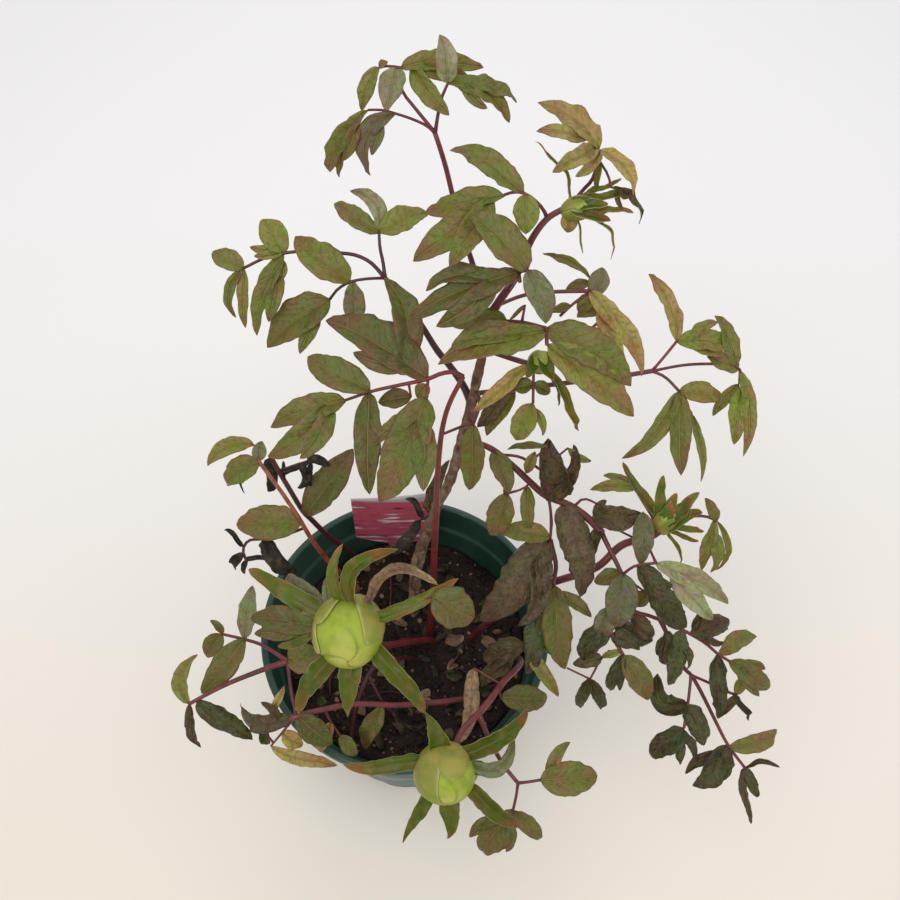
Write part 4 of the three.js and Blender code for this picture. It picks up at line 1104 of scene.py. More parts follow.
class Bud:
    """A round flower bud: tight pale petals under cupped sepals."""

    # The ball's tip colour is painted shade, laid in the seams between its petals.
    ball = Shade(paint(150, 164, 56), paint(170, 172, 80), paint(112, 136, 36))
    cup = Shade(paint(114, 124, 46), paint(150, 138, 66), paint(200, 194, 138))
    rings = 30
    sides = 44
    sepal_lift = 0.045
    sepal_edge = 0.03

    def __init__(self, middle: Vector, core: Core, seed: float) -> None:
        """Works out the bud's axes.

        Args:
            middle: Its centre.
            core: Its size, its aim and its sepals.
            seed: What sets its folds apart from those of the others.
        """
        self.middle, self.core, self.seed = middle, core, seed
        self.axis = Vector(core.facing).normalized()
        self.side = self.axis.cross(Vector((0.0, 1.0, 0.0))).normalized()
        self.other = self.side.cross(self.axis)

    def place(self, slope: float, turn: float, distance: float) -> Vector:
        """Gives a place by the angles from the tip and round the axis, in degrees.

        Args:
            slope: The angle from the tip.
            turn: The angle round the axis.
            distance: How far from the middle.

        Returns:
            The place.
        """
        slope, turn = math.radians(slope), math.radians(turn)
        waist = distance * math.sin(slope)
        rise = self.axis * (self.core.stretch * distance * math.cos(slope))
        aside = self.side * (waist * math.cos(turn))
        return self.middle + rise + aside + self.other * (waist * math.sin(turn))

    def dress(self, skin: Skin, slot: int) -> None:
        """Adds the petal ball and every sepal to a mesh.

        Args:
            skin: The mesh that grows.
            slot: The finish in it.
        """
        self.dress_ball(skin, slot)
        for order, (turn, spread, opening) in enumerate(self.core.sepals):
            rise = 1.015 + 0.022 * (order % 2)
            self.dress_sepal(skin, slot, turn, spread, opening, rise)

    def dress_ball(self, skin: Skin, slot: int) -> None:
        """Adds the ball of petals, folded along three seams that wind to the tip, with painted shade
        darkening the seams towards the tip.

        Args:
            skin: The mesh that grows.
            slot: The finish in it.
        """
        rows = []
        for ring in range(self.rings + 1):
            slope = 180.0 * (0.5 + ring * (self.rings - 0.6) / self.rings) / self.rings
            row = []
            for side in range(self.sides):
                turn = 360.0 * side / self.sides
                seam = math.sin(math.radians(1.5 * (turn + 1.3 * slope) + 40.0 * self.seed))
                fold = ease(abs(seam), 0.0, 0.22)
                near = ease(slope, 95.0, 30.0)
                distance = self.core.radius * (0.985 - 0.06 * (1.0 - fold) * near)
                shade = blend(self.ball.base, self.ball.blotch, ease(slope, 60.0, 10.0))
                # Painted shade: the seams darken, most of all near the tip.
                colour = blend(shade, self.ball.tip, 0.85 * (1.0 - fold) * near)
                colour = blend(colour, self.cup.base, ease(slope, 70.0, 130.0))
                place = self.place(slope, turn, distance)
                row.append(skin.add(place, colour, edge=0.5 * (1.0 - fold)))
            rows.append(row)
        skin.grid([row[::-1] for row in rows], slot, closed=True)
        skin.face(tuple(rows[0]), slot)
        skin.face(tuple(rows[-1][::-1]), slot)

    def dress_sepal(self, skin: Skin, slot: int, turn: float, spread: float, opening: float,
                    rise: float) -> None:
        """Adds one sepal, cupped over the ball.

        Args:
            skin: The mesh that grows.
            slot: The sepal's finish.
            turn: Where it lies round the axis, in degrees.
            spread: Its half width in degrees.
            opening: How far its tip stays from the bud's tip, in degrees.
            rise: How far out it lies, as a share of the bud's radius.
        """
        steps, halves = 20, 8
        layers: list[list[list[int]]] = []
        for layer in (1.0, 0.0):
            rows = []
            for step in range(steps + 1):
                share = step / steps
                slope = opening + (172.0 - opening) * share
                width = spread * min(1.0, (share / 0.42) ** 0.5)
                row = []
                for k in range(-halves, halves + 1):
                    off = k / halves
                    edge = max(abs(off), 1.0 - share / 0.12)
                    dip = self.sepal_edge * ease(edge, 0.82, 1.0)
                    wave = 0.012 * noise.noise(Vector((off * 2.0, share * 5.0, self.seed + turn)))
                    thick = self.sepal_lift * layer * (1.0 - 0.6 * ease(edge, 0.8, 1.0))
                    lie = rise + thick - 0.4 * dip + wave
                    place = self.place(slope, turn + off * width, self.core.radius * lie)
                    shade = blend(self.cup.base, self.cup.blotch, 0.6 + 1.3 * noise.noise(place * 0.09))
                    colour = blend(shade, self.ball.base, 0.3 * ease(share, 0.4, 0.0))
                    colour = blend(colour, self.cup.tip, 0.6 * ease(edge, 0.86, 1.0))
                    row.append(skin.add(place, colour, edge * 0.9, 0.0, share * 30.0, off * width * 0.26))
                rows.append(row)
            layers.append(rows)
        upper, lower = layers
        skin.grid(upper, slot)
        skin.grid([row[::-1] for row in lower], slot)
        rims = [[*rows[0], *(row[-1] for row in rows[1:-1]), *rows[-1][::-1],
                 *(row[0] for row in rows[-2:0:-1])] for rows in layers]
        skin.grid([rims[1], rims[0]], slot, closed=True)


@dataclass
class Growth:
    """One compound leaf, shoot or bud with all that grows from it, as one piece.

    Attributes:
        name: The piece that it stands for.
        carrier: The growth that it springs from, or an empty string where it is rooted.
        slot: The finish slot of the record.
        leaf_tone: The tone of its blades.
        stalk_tone: The tone of its stalks.
        parts: Its stalks, blades and bud.
    """

    name: str
    carrier: str
    slot: str
    leaf_tone: Tone
    stalk_tone: Tone
    parts: list[Stalk | Leaflet | Core]
    axes: list[tuple[Vector, Vector]] = field(default_factory=list)
    bud: Bud | None = None

    def join(self, place: Vector, hosts: list[tuple[Vector, Vector]]) -> Vector:
        """Gives the place nearest to another one on the axes of the stalks that carry it.

        Args:
            place: The other place.
            hosts: Their axes.

        Returns:
            The nearest place.
        """
        best, least = place, 1e9
        for a, b in hosts:
            step = b - a
            share = min(1.0, max(0.0, (place - a).dot(step) / max(1e-9, step.length_squared)))
            here = a + step * share
            if (here - place).length < least:
                best, least = here, (here - place).length
        return best

    def start(self, place: Vector, part: Stalk | Leaflet | Core, hosts: list[tuple[Vector, Vector]],
              ) -> tuple[Vector, Vector | None]:
        """Fits the start of a part to what carries it.

        Args:
            place: Where the part starts by itself.
            part: The part.
            hosts: The axes that can carry it.

        Returns:
            The start, and the joint of an extra twig where the part stands off by more than a little.
        """
        if self.bud and isinstance(part, (Stalk, Leaflet)):
            offset = place - self.bud.middle
            if offset.length < 1.7 * self.bud.core.radius * self.bud.core.stretch:
                return self.bud.middle + offset.normalized() * (0.78 * self.bud.core.radius), None
        if isinstance(part, Core) or not hosts or (isinstance(part, Stalk) and place.z < ROOT_ZONE):
            return place, None
        joint = self.join(place, hosts)
        if (joint - place).length > JOIN_REACH and self.axes:
            return place, joint
        return joint, None

    def dress(self, grown: dict[str, "Growth"], finishes: list[bpy.types.Material]) -> bpy.types.Object:
        """Builds the growth as one object.

        Args:
            grown: The growths that are built already, by name.
            finishes: The materials, in the order of the coats.

        Returns:
            The new object.
        """
        skin = Skin()
        roots = grown[self.carrier].axes if self.carrier else []
        seed = sum(map(ord, self.name)) % NAME_SEEDS * NAME_SEED_STEP
        for part in self.parts:
            seed += PART_SEED_STEP
            points = [part.base, part.tip] if isinstance(part, Leaflet) else (
                [part.centre] if isinstance(part, Core) else part.points)
            places = [SIGHT.place(point) for point in points]
            places[0], joint = self.start(places[0], part, self.axes or roots)
            if joint:
                path = smooth_path([joint, places[0]], 3.0)
                twig = Tube(path, *TWIG_RADII, SHADES[self.stalk_tone], sides=6)
                twig.dress(skin, Coat.STALK.value)
            if isinstance(part, Core):
                self.bud = Bud(places[0], part, seed)
                self.bud.dress(skin, Coat.BUD.value)
            elif isinstance(part, Stalk):
                self.dress_stalk(skin, part, places)
            else:
                tone = part.tone or self.leaf_tone
                shade = SHADES[tone]
                Blade(places[0], places[1], part, shade, seed).dress(skin, shade.coat.value)
        piece = skin.build(self.name + "_grown", finishes)
        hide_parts(self.name)
        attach(piece, "root")
        return piece

    def dress_stalk(self, skin: Skin, stalk: Stalk, places: list[Vector]) -> None:
        """Adds one stalk, rooted in the soil where it starts low.

        Args:
            skin: The mesh that grows.
            stalk: The stalk.
            places: Its points in millimetres.
        """
        radii = [max(LEAST_RADIUS, 0.5 * width * SIGHT.scale(place))
                 for width, place in ((stalk.start_width, places[0]), (stalk.end_width, places[-1]))]
        if places[0].z < ROOT_ZONE:
            places.insert(0, Vector((places[0].x, places[0].y, ROOT_LEVEL)))
        old = self.slot == "bark"
        axis = smooth_path(places, 3.0 if old else 3.6)
        self.axes += zip(axis, axis[1:])
        shade = SHADES[stalk.tone or self.stalk_tone]
        woody = old and stalk.tone is None
        tube = Tube(axis, *radii, shade, rough=0.3 if woody else 0.0, sides=20 if woody else 10)
        tube.dress(skin, (Coat.LEAF if woody else Coat.STALK).value)


@dataclass
class Pot:
    """The nursery pot: a tapered shell with a flat lip, an inner step and drain slots."""

    height: float = 190.0
    rim_radius: float = 105.0
    foot_radius: float = 73.0
    wall: float = 2.4
    floor: float = 3.0
    lip_depth: float = 8.0
    lip_width: float = 3.0
    step_depth: float = 22.0
    step_width: float = 3.0
    sides: int = 144
    flutes: int = 18
    flute_depth: float = 1.3
    drain_slots: int = 8
    drain_slot: tuple[float, float] = (18.0, 5.0)
    drain_radius: float = 48.0
    finish: PotFinish = field(default_factory=PotFinish)

    def outer(self, z: float) -> float:
        """Gives the outer radius of the wall at a height."""
        top = self.rim_radius - self.lip_width
        return self.foot_radius + (top - self.foot_radius) * z / self.height

    def profile(self) -> list[tuple[float, float, float]]:
        """Lists the shell's profile from the middle of its base to the middle of its floor.

        Returns:
            The radius and the height of each point, and how deeply the flutes cut it.
        """
        inner_top = self.rim_radius - self.lip_width - self.wall
        step_top = self.height - self.step_depth
        lip = self.height - self.lip_depth
        points = [(6.0, 0.0, 0.0), (self.foot_radius - 3.0, 0.0, 0.0), (self.foot_radius - 1.4, 0.5, 0.0),
                  (self.foot_radius - 0.3, 1.7, 0.2), (self.outer(3.4), 3.4, 0.6)]
        for step in range(1, 22):
            z = 3.4 + (lip - 7.0) * step / 22.0
            points.append((self.outer(z), z, ease(z, 3.0, 16.0) * ease(z, 112.0, 84.0)))
        points += [(self.outer(lip - 0.8), lip - 0.8, 0.0), (self.outer(lip) + 0.5, lip, 0.0)]
        rim, top = self.rim_radius, self.height
        points += [(rim - 0.5, lip + 0.4, 0.0), (rim, lip + 1.2, 0.0), (rim, top - 2.0, 0.0),
                   (rim - 0.3, top - 0.9, 0.0), (rim - 0.9, top - 0.3, 0.0), (rim - 1.7, top, 0.0),
                   (inner_top + 1.4, top, 0.0), (inner_top + 0.5, top - 0.5, 0.0),
                   (inner_top, top - 1.8, 0.0)]
        shelf = self.outer(step_top) - self.wall
        points += [(shelf + 0.1, step_top + 0.9, 0.0), (shelf - 0.6, step_top - 0.2, 0.0),
                   (shelf - self.step_width + 0.7, step_top - 1.3, 0.0),
                   (shelf - self.step_width, step_top - 2.6, 0.0)]
        low = self.foot_radius - self.wall - self.step_width
        points += [(low + (shelf - self.step_width - low) * 0.5, step_top * 0.5, 0.0), (low, self.floor, 0.0),
                   (6.0, self.floor, 0.0)]
        return points

    def build(self) -> bpy.types.Object:
        """Builds the pot, with its slots cut through.

        Returns:
            The new object.
        """
        skin = Skin()
        rows = []
        for radius, z, flute in self.profile():
            row = []
            for side in range(self.sides):
                turn = 2.0 * math.pi * side / self.sides
                hollow = flute * self.flute_depth * abs(math.sin(0.5 * self.flutes * turn)) ** 6
                reach = radius - hollow
                place = Vector((reach * math.cos(turn), reach * math.sin(turn), z))
                row.append(skin.add(place, self.finish.plastic))
            rows.append(row)
        skin.grid(rows, 0, closed=True)
        skin.face(tuple(rows[0][::-1]), 0)
        skin.face(tuple(rows[-1]), 0)
        pot = skin.build("pot_shell", [self.finish.make("pot_plastic")])
        self.cut_slots(pot)
        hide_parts("pot")
        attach(pot, "root")
        return pot

    def cut_slots(self, pot: bpy.types.Object) -> None:
        """Cuts the drain slots through the floor of the pot.

        Args:
            pot: The pot.
        """
        cutter = Skin()
        long, wide = (0.5 * side for side in self.drain_slot)
        for slot in range(self.drain_slots):
            turn = 2.0 * math.pi * slot / self.drain_slots
            out = Vector((math.cos(turn), math.sin(turn), 0.0))
            over = Vector((-math.sin(turn), math.cos(turn), 0.0))
            rows = []
            for z in (-4.0, 8.0):
                middle = out * self.drain_radius + Vector((0.0, 0.0, z))
                corners = ((-long, -wide), (long, -wide), (long, wide), (-long, wide))
                rows.append([cutter.add(middle + out * a + over * b, (0.0, 0.0, 0.0)) for a, b in corners])
            cutter.grid(rows, 0, closed=True)
            cutter.face(tuple(rows[0][::-1]), 0)
            cutter.face(tuple(rows[1]), 0)
        tool = cutter.build("drain_tool", [pot.data.materials[0]])
        cut = pot.modifiers.new("drain", "BOOLEAN")
        cut.operation, cut.solver, cut.object = "DIFFERENCE", "EXACT", tool
        graph = bpy.context.evaluated_depsgraph_get()
        done = bpy.data.meshes.new_from_object(pot.evaluated_get(graph))
        pot.modifiers.clear()
        pot.data = done
        bpy.data.objects.remove(tool, do_unlink=True)


@dataclass
class Soil:
    """The potting soil, with crumbs, pale grit, twigs and scraps of dead leaf lying on it."""

    level: float = 147.0
    lump: float = 1.6
    mound: float = 3.0
    bottom: float = 3.35
    low_radius: float = 67.0
    high_radius: float = 89.6
    sides: int = 110
    rings: int = 46
    grit: int = 260
    crumbs: int = 900
    scraps: int = 90
    twigs: int = 22
    dark: Colour = paint(44, 32, 26)
    pale: Colour = paint(178, 136, 102)
    seed: int = 11

    def top(self, x: float, y: float) -> float:
        """Gives the height of the soil at a place.

        Args:
            x: How far right the place is.
            y: How far back.

        Returns:
            The height.
        """
        lumps = math.sin(x * 0.11 + 1.3) * math.cos(y * 0.13) + 0.5 * math.sin((x + y) * 0.23)
        heap = max(0.0, 1.0 - math.hypot(x, y) / 60.0)
        rough = 1.6 * noise.noise(Vector((x * 0.09, y * 0.09, 1.0)))
        rough += 1.1 * noise.noise(Vector((x * 0.3, y * 0.3, 5.0)))
        return self.level + self.lump * lumps + self.mound * heap + rough

    def build(self) -> list[bpy.types.Object]:
        """Builds the soil and what lies on it.

        Returns:
            The new objects.
        """
        skin = Skin()
        rows = [[], []]
        for row, radius, z in zip(rows, (self.low_radius, self.high_radius), (self.bottom, self.level)):
            for side in range(self.sides):
                turn = 2.0 * math.pi * side / self.sides
                x, y = radius * math.cos(turn), radius * math.sin(turn)
                row.append(skin.add(Vector((x, y, z if z < 10 else self.top(x, y))), self.dark))
        skin.face(tuple(rows[0][::-1]), 0)
        for ring in range(self.rings - 1, 0, -1):
            radius = self.high_radius * ring / self.rings
            row = []
            for side in range(self.sides):
                turn = 2.0 * math.pi * side / self.sides
                x, y = radius * math.cos(turn), radius * math.sin(turn)
                fine = 0.9 * noise.noise(Vector((x * 0.9, y * 0.9, 9.0)))
                row.append(skin.add(Vector((x, y, self.top(x, y) + fine)), self.dark))
            rows.append(row)
        skin.grid(rows, 0, closed=True)
        skin.face(tuple(rows[-1]), 0)
        finish = SoilFinish().make("soil")
        bed = skin.build("soil_bed", [finish])
        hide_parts("soil")
        pieces = [bed, self.scatter("soil_grit", self.grit, (0.9, 3.0), self.pale, finish),
                  self.scatter("soil_crumbs", self.crumbs, (0.9, 3.2), self.dark, finish),
                  self.litter("soil_litter")]
        for piece in pieces:
            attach(piece, "root")
        return pieces

    def litter(self, name: str) -> bpy.types.Object:
        """Strews fallen twigs and curled scraps of leaf over the soil.

        Args:
            name: The name of their piece.

        Returns:
            The new object.
        """
        rng = random.Random(self.seed)
        skin = Skin()
        for order in range(self.scraps + self.twigs):
            fallen_twig = order >= self.scraps
            reach, turn = self.high_radius * 0.9 * math.sqrt(rng.random()), rng.uniform(0.0, 2.0 * math.pi)
            x, y = reach * math.cos(turn), reach * math.sin(turn)
            heading = rng.uniform(0.0, 2.0 * math.pi)
            length = rng.uniform(18.0, 42.0) if fallen_twig else rng.uniform(6.0, 14.0)
            x2, y2 = x + length * math.cos(heading), y + length * math.sin(heading)
            if math.hypot(x2, y2) > 0.93 * self.high_radius:
                continue
            base = Vector((x, y, self.top(x, y) + 1.2))
            tip = Vector((x2, y2, self.top(x2, y2) + rng.uniform(1.5, 4.0)))
            if fallen_twig:
                middle = base.lerp(tip, 0.5) + Vector((rng.uniform(-4.0, 4.0), rng.uniform(-4.0, 4.0), 2.0))
                tone = SHADES[PURPLE if order % 2 else CRIMSON]
                Tube(smooth_path([base, middle, tip], 4.0), 0.8, 0.5, tone, sides=6).dress(skin, 0)
            else:
                scrap = Leaflet([], [], rng.uniform(6.0, 14.0), bow=rng.uniform(-2.0, 2.0),
                                lean=rng.uniform(-25.0, 25.0))
                tone = SHADES[(HUSK, DRY, RUSSET, WILTED)[order % 4]]
                Blade(base, tip, scrap, tone, float(order)).dress(skin, 0)
        # The scraps wear the dry-leaf finish, with its painted shade in the hollows weakened.
        return skin.build(name, [DryLeafFinish(depth=0.3).make("leaf_litter")])

    def scatter(self, name: str, count: int, sizes: tuple[float, float], tone: Colour,
                finish: bpy.types.Material) -> bpy.types.Object:
        """Strews angular bits over the soil.

        Args:
            name: The piece's name.
            count: How many bits there are.
            sizes: The smallest and the largest radius.
            tone: The colour that they vary about.
            finish: Their material.

        Returns:
            The new object.
        """
        rng = random.Random(self.seed + count)
        skin = Skin()
        for _ in range(count):
            reach, turn = self.high_radius * 0.975 * math.sqrt(rng.random()), rng.uniform(0.0, 2.0 * math.pi)
            x, y = reach * math.cos(turn), reach * math.sin(turn)
            size = sizes[0] + (sizes[1] - sizes[0]) * rng.random() ** 3
            middle = Vector((x, y, self.top(x, y) + 0.35 * size))
            spin = Quaternion(Vector((rng.random(), rng.random(), rng.random() + 0.1)), rng.uniform(0.0, 6.0))
            shape = Vector((rng.uniform(0.8, 1.4), rng.uniform(0.7, 1.1), rng.uniform(0.5, 0.9)))
            colour = blend(tone, self.dark, 0.6 * rng.random())
            rows = []
            for slope in (28.0, 75.0, 120.0, 160.0):
                row = []
                for corner in range(6):
                    angle = math.radians(60.0 * corner + slope)
                    flat = math.sin(math.radians(slope)) * rng.uniform(0.8, 1.15)
                    out = Vector((flat * math.cos(angle), flat * math.sin(angle),
                                  math.cos(math.radians(slope))))
                    out = Vector(a * b for a, b in zip(out, shape)) * size
                    out.rotate(spin)
                    row.append(skin.add(middle + out, colour))
                rows.append(row)
            skin.grid([row[::-1] for row in rows], 0, closed=True)
            skin.face(tuple(rows[0]), 0)
            skin.face(tuple(rows[-1][::-1]), 0)
        return skin.build(name, [finish])


@dataclass
class PlantLabel:
    """The plant label: a printed sheet that narrows to a stake pushed into the soil."""

    depth: float = 80.0
    thickness: float = 0.8
    left: tuple[tuple[float, float], ...] = ((-13, 122), (-16, 164), (-41, 173), (-40, 236))
    right: tuple[tuple[float, float], ...] = ((-5, 122), (-2, 164), (20, 172), (21, 246))
    bend: float = 1.2
    columns: int = 16
    steps: int = 14
    finish: LabelFinish = field(default_factory=LabelFinish)

    def build(self) -> bpy.types.Object:
        """Builds the label.

        Returns:
            The new object.
        """
        skin = Skin()
        layers = []
        for offset in (0.5 * self.thickness, -0.5 * self.thickness):
            rows = []
            bands = list(zip(self.left, self.right))
            for (low_left, low_right), (high_left, high_right) in zip(bands, bands[1:]):
                for step in range(self.steps):
                    share = step / self.steps
                    rows.append(self.row(skin, low_left, low_right, high_left, high_right, share, offset))
            rows.append(self.row(skin, low_left, low_right, high_left, high_right, 1.0, offset))
            layers.append(rows)
        back, front = layers
        skin.grid([row[::-1] for row in back], 0)
        skin.grid(front, 0)
        rims = [[*rows[0], *(row[-1] for row in rows[1:-1]), *rows[-1][::-1],
                 *(row[0] for row in rows[-2:0:-1])] for rows in layers]
        skin.grid(rims, 0, closed=True)
        label = skin.build("label_sheet", [self.finish.make("label_print")])
        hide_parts("label")
        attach(label, "root")
        return label

    def row(self, skin: Skin, low_left: tuple[float, float], low_right: tuple[float, float],
            high_left: tuple[float, float], high_right: tuple[float, float], share: float,
            offset: float) -> list[int]:
        """Adds one row across the sheet.

        Args:
            skin: The mesh that grows.
            low_left: The left corner below it.
            low_right: The right corner below it.
            high_left: The left corner above it.
            high_right: The right corner above it.
            share: How far up between them it lies.
            offset: The distance from the middle of the sheet's thickness.

        Returns:
            The row's vertices.
        """
        ends = [Vector(low).lerp(Vector(high), share)
                for low, high in ((low_left, high_left), (low_right, high_right))]
        row = []
        for column in range(self.columns + 1):
            place = ends[0].lerp(ends[1], column / self.columns)
            bow = self.bend * (((place.x + 10.0) / 31.0) ** 2 - 0.3) * ease(place.y, 165.0, 200.0)
            row.append(skin.add(Vector((place.x, self.depth + offset + bow, place.y)), self.finish.pink))
        return row


@dataclass
class Studio:
    """The pale floor, the soft light and the camera."""

    floor_size: float = 9000.0
    camera_place: tuple[float, float, float] = (0.0327, -0.2638, 0.8820)
    camera_tilt: float = 30.88
    lens: float = 40.0
    sensor: float = 36.0
    sky: Colour = (0.93, 0.95, 1.0)
    sky_strength: float = 0.7
    finish: FloorFinish = field(default_factory=FloorFinish)

    def build(self) -> None:
        """Builds the floor, the lights and the camera."""
        skin = Skin()
        reach = 0.5 * self.floor_size
        corners = [skin.add(Vector((x, y, 0.0)), self.finish.pale)
                   for x, y in ((-reach, -reach), (reach, -reach), (reach, reach), (-reach, reach))]
        skin.face(tuple(corners), 0)
        floor = skin.build("studio_floor", [self.finish.make("studio_floor")])
        self.add_lamp("key", (-0.3, -0.6, 1.8), 1.3, 14.0, (1.0, 0.98, 0.95))
        self.add_lamp("fill", (1.2, -0.4, 1.3), 1.4, 3.5, (0.95, 0.97, 1.0))
        self.add_lamp("rear", (0.1, 1.5, 1.5), 1.2, 6.0, (1.0, 1.0, 1.0))
        world = bpy.data.worlds.new("studio")
        world.use_nodes = True
        sky = world.node_tree.nodes["Background"]
        sky.inputs["Color"].default_value = (*self.sky, 1.0)
        sky.inputs["Strength"].default_value = self.sky_strength
        bpy.context.scene.world = world
        bpy.context.scene.view_settings.view_transform = "Standard"
        camera = bpy.data.objects.new("camera", bpy.data.cameras.new("camera"))
        camera.data.lens = self.lens
        camera.data.sensor_width = self.sensor
        camera.data.clip_start = 0.01
        camera.location = self.camera_place
        camera.rotation_euler = (math.radians(self.camera_tilt), 0.0, 0.0)
        bpy.context.scene.collection.objects.link(camera)
        bpy.context.scene.camera = camera

    def add_lamp(self, name: str, place: tuple[float, float, float], size: float, power: float,
                 tint: Colour) -> None:
        """Adds a square soft lamp that faces the plant.

        Args:
            name: The lamp's name.
            place: Where it stands, in metres.
            size: The length of its side, in metres.
            power: Its power in watts.
            tint: Its colour.
        """
        light = bpy.data.lights.new(name, "AREA")
        light.energy, light.size, light.color = power, size, tint
        lamp = bpy.data.objects.new(name, light)
        lamp.location = place
        lamp.rotation_euler = (Vector((0.0, 0.0, 0.3)) - Vector(place)).to_track_quat("-Z", "Y").to_euler()
        bpy.context.scene.collection.objects.link(lamp)


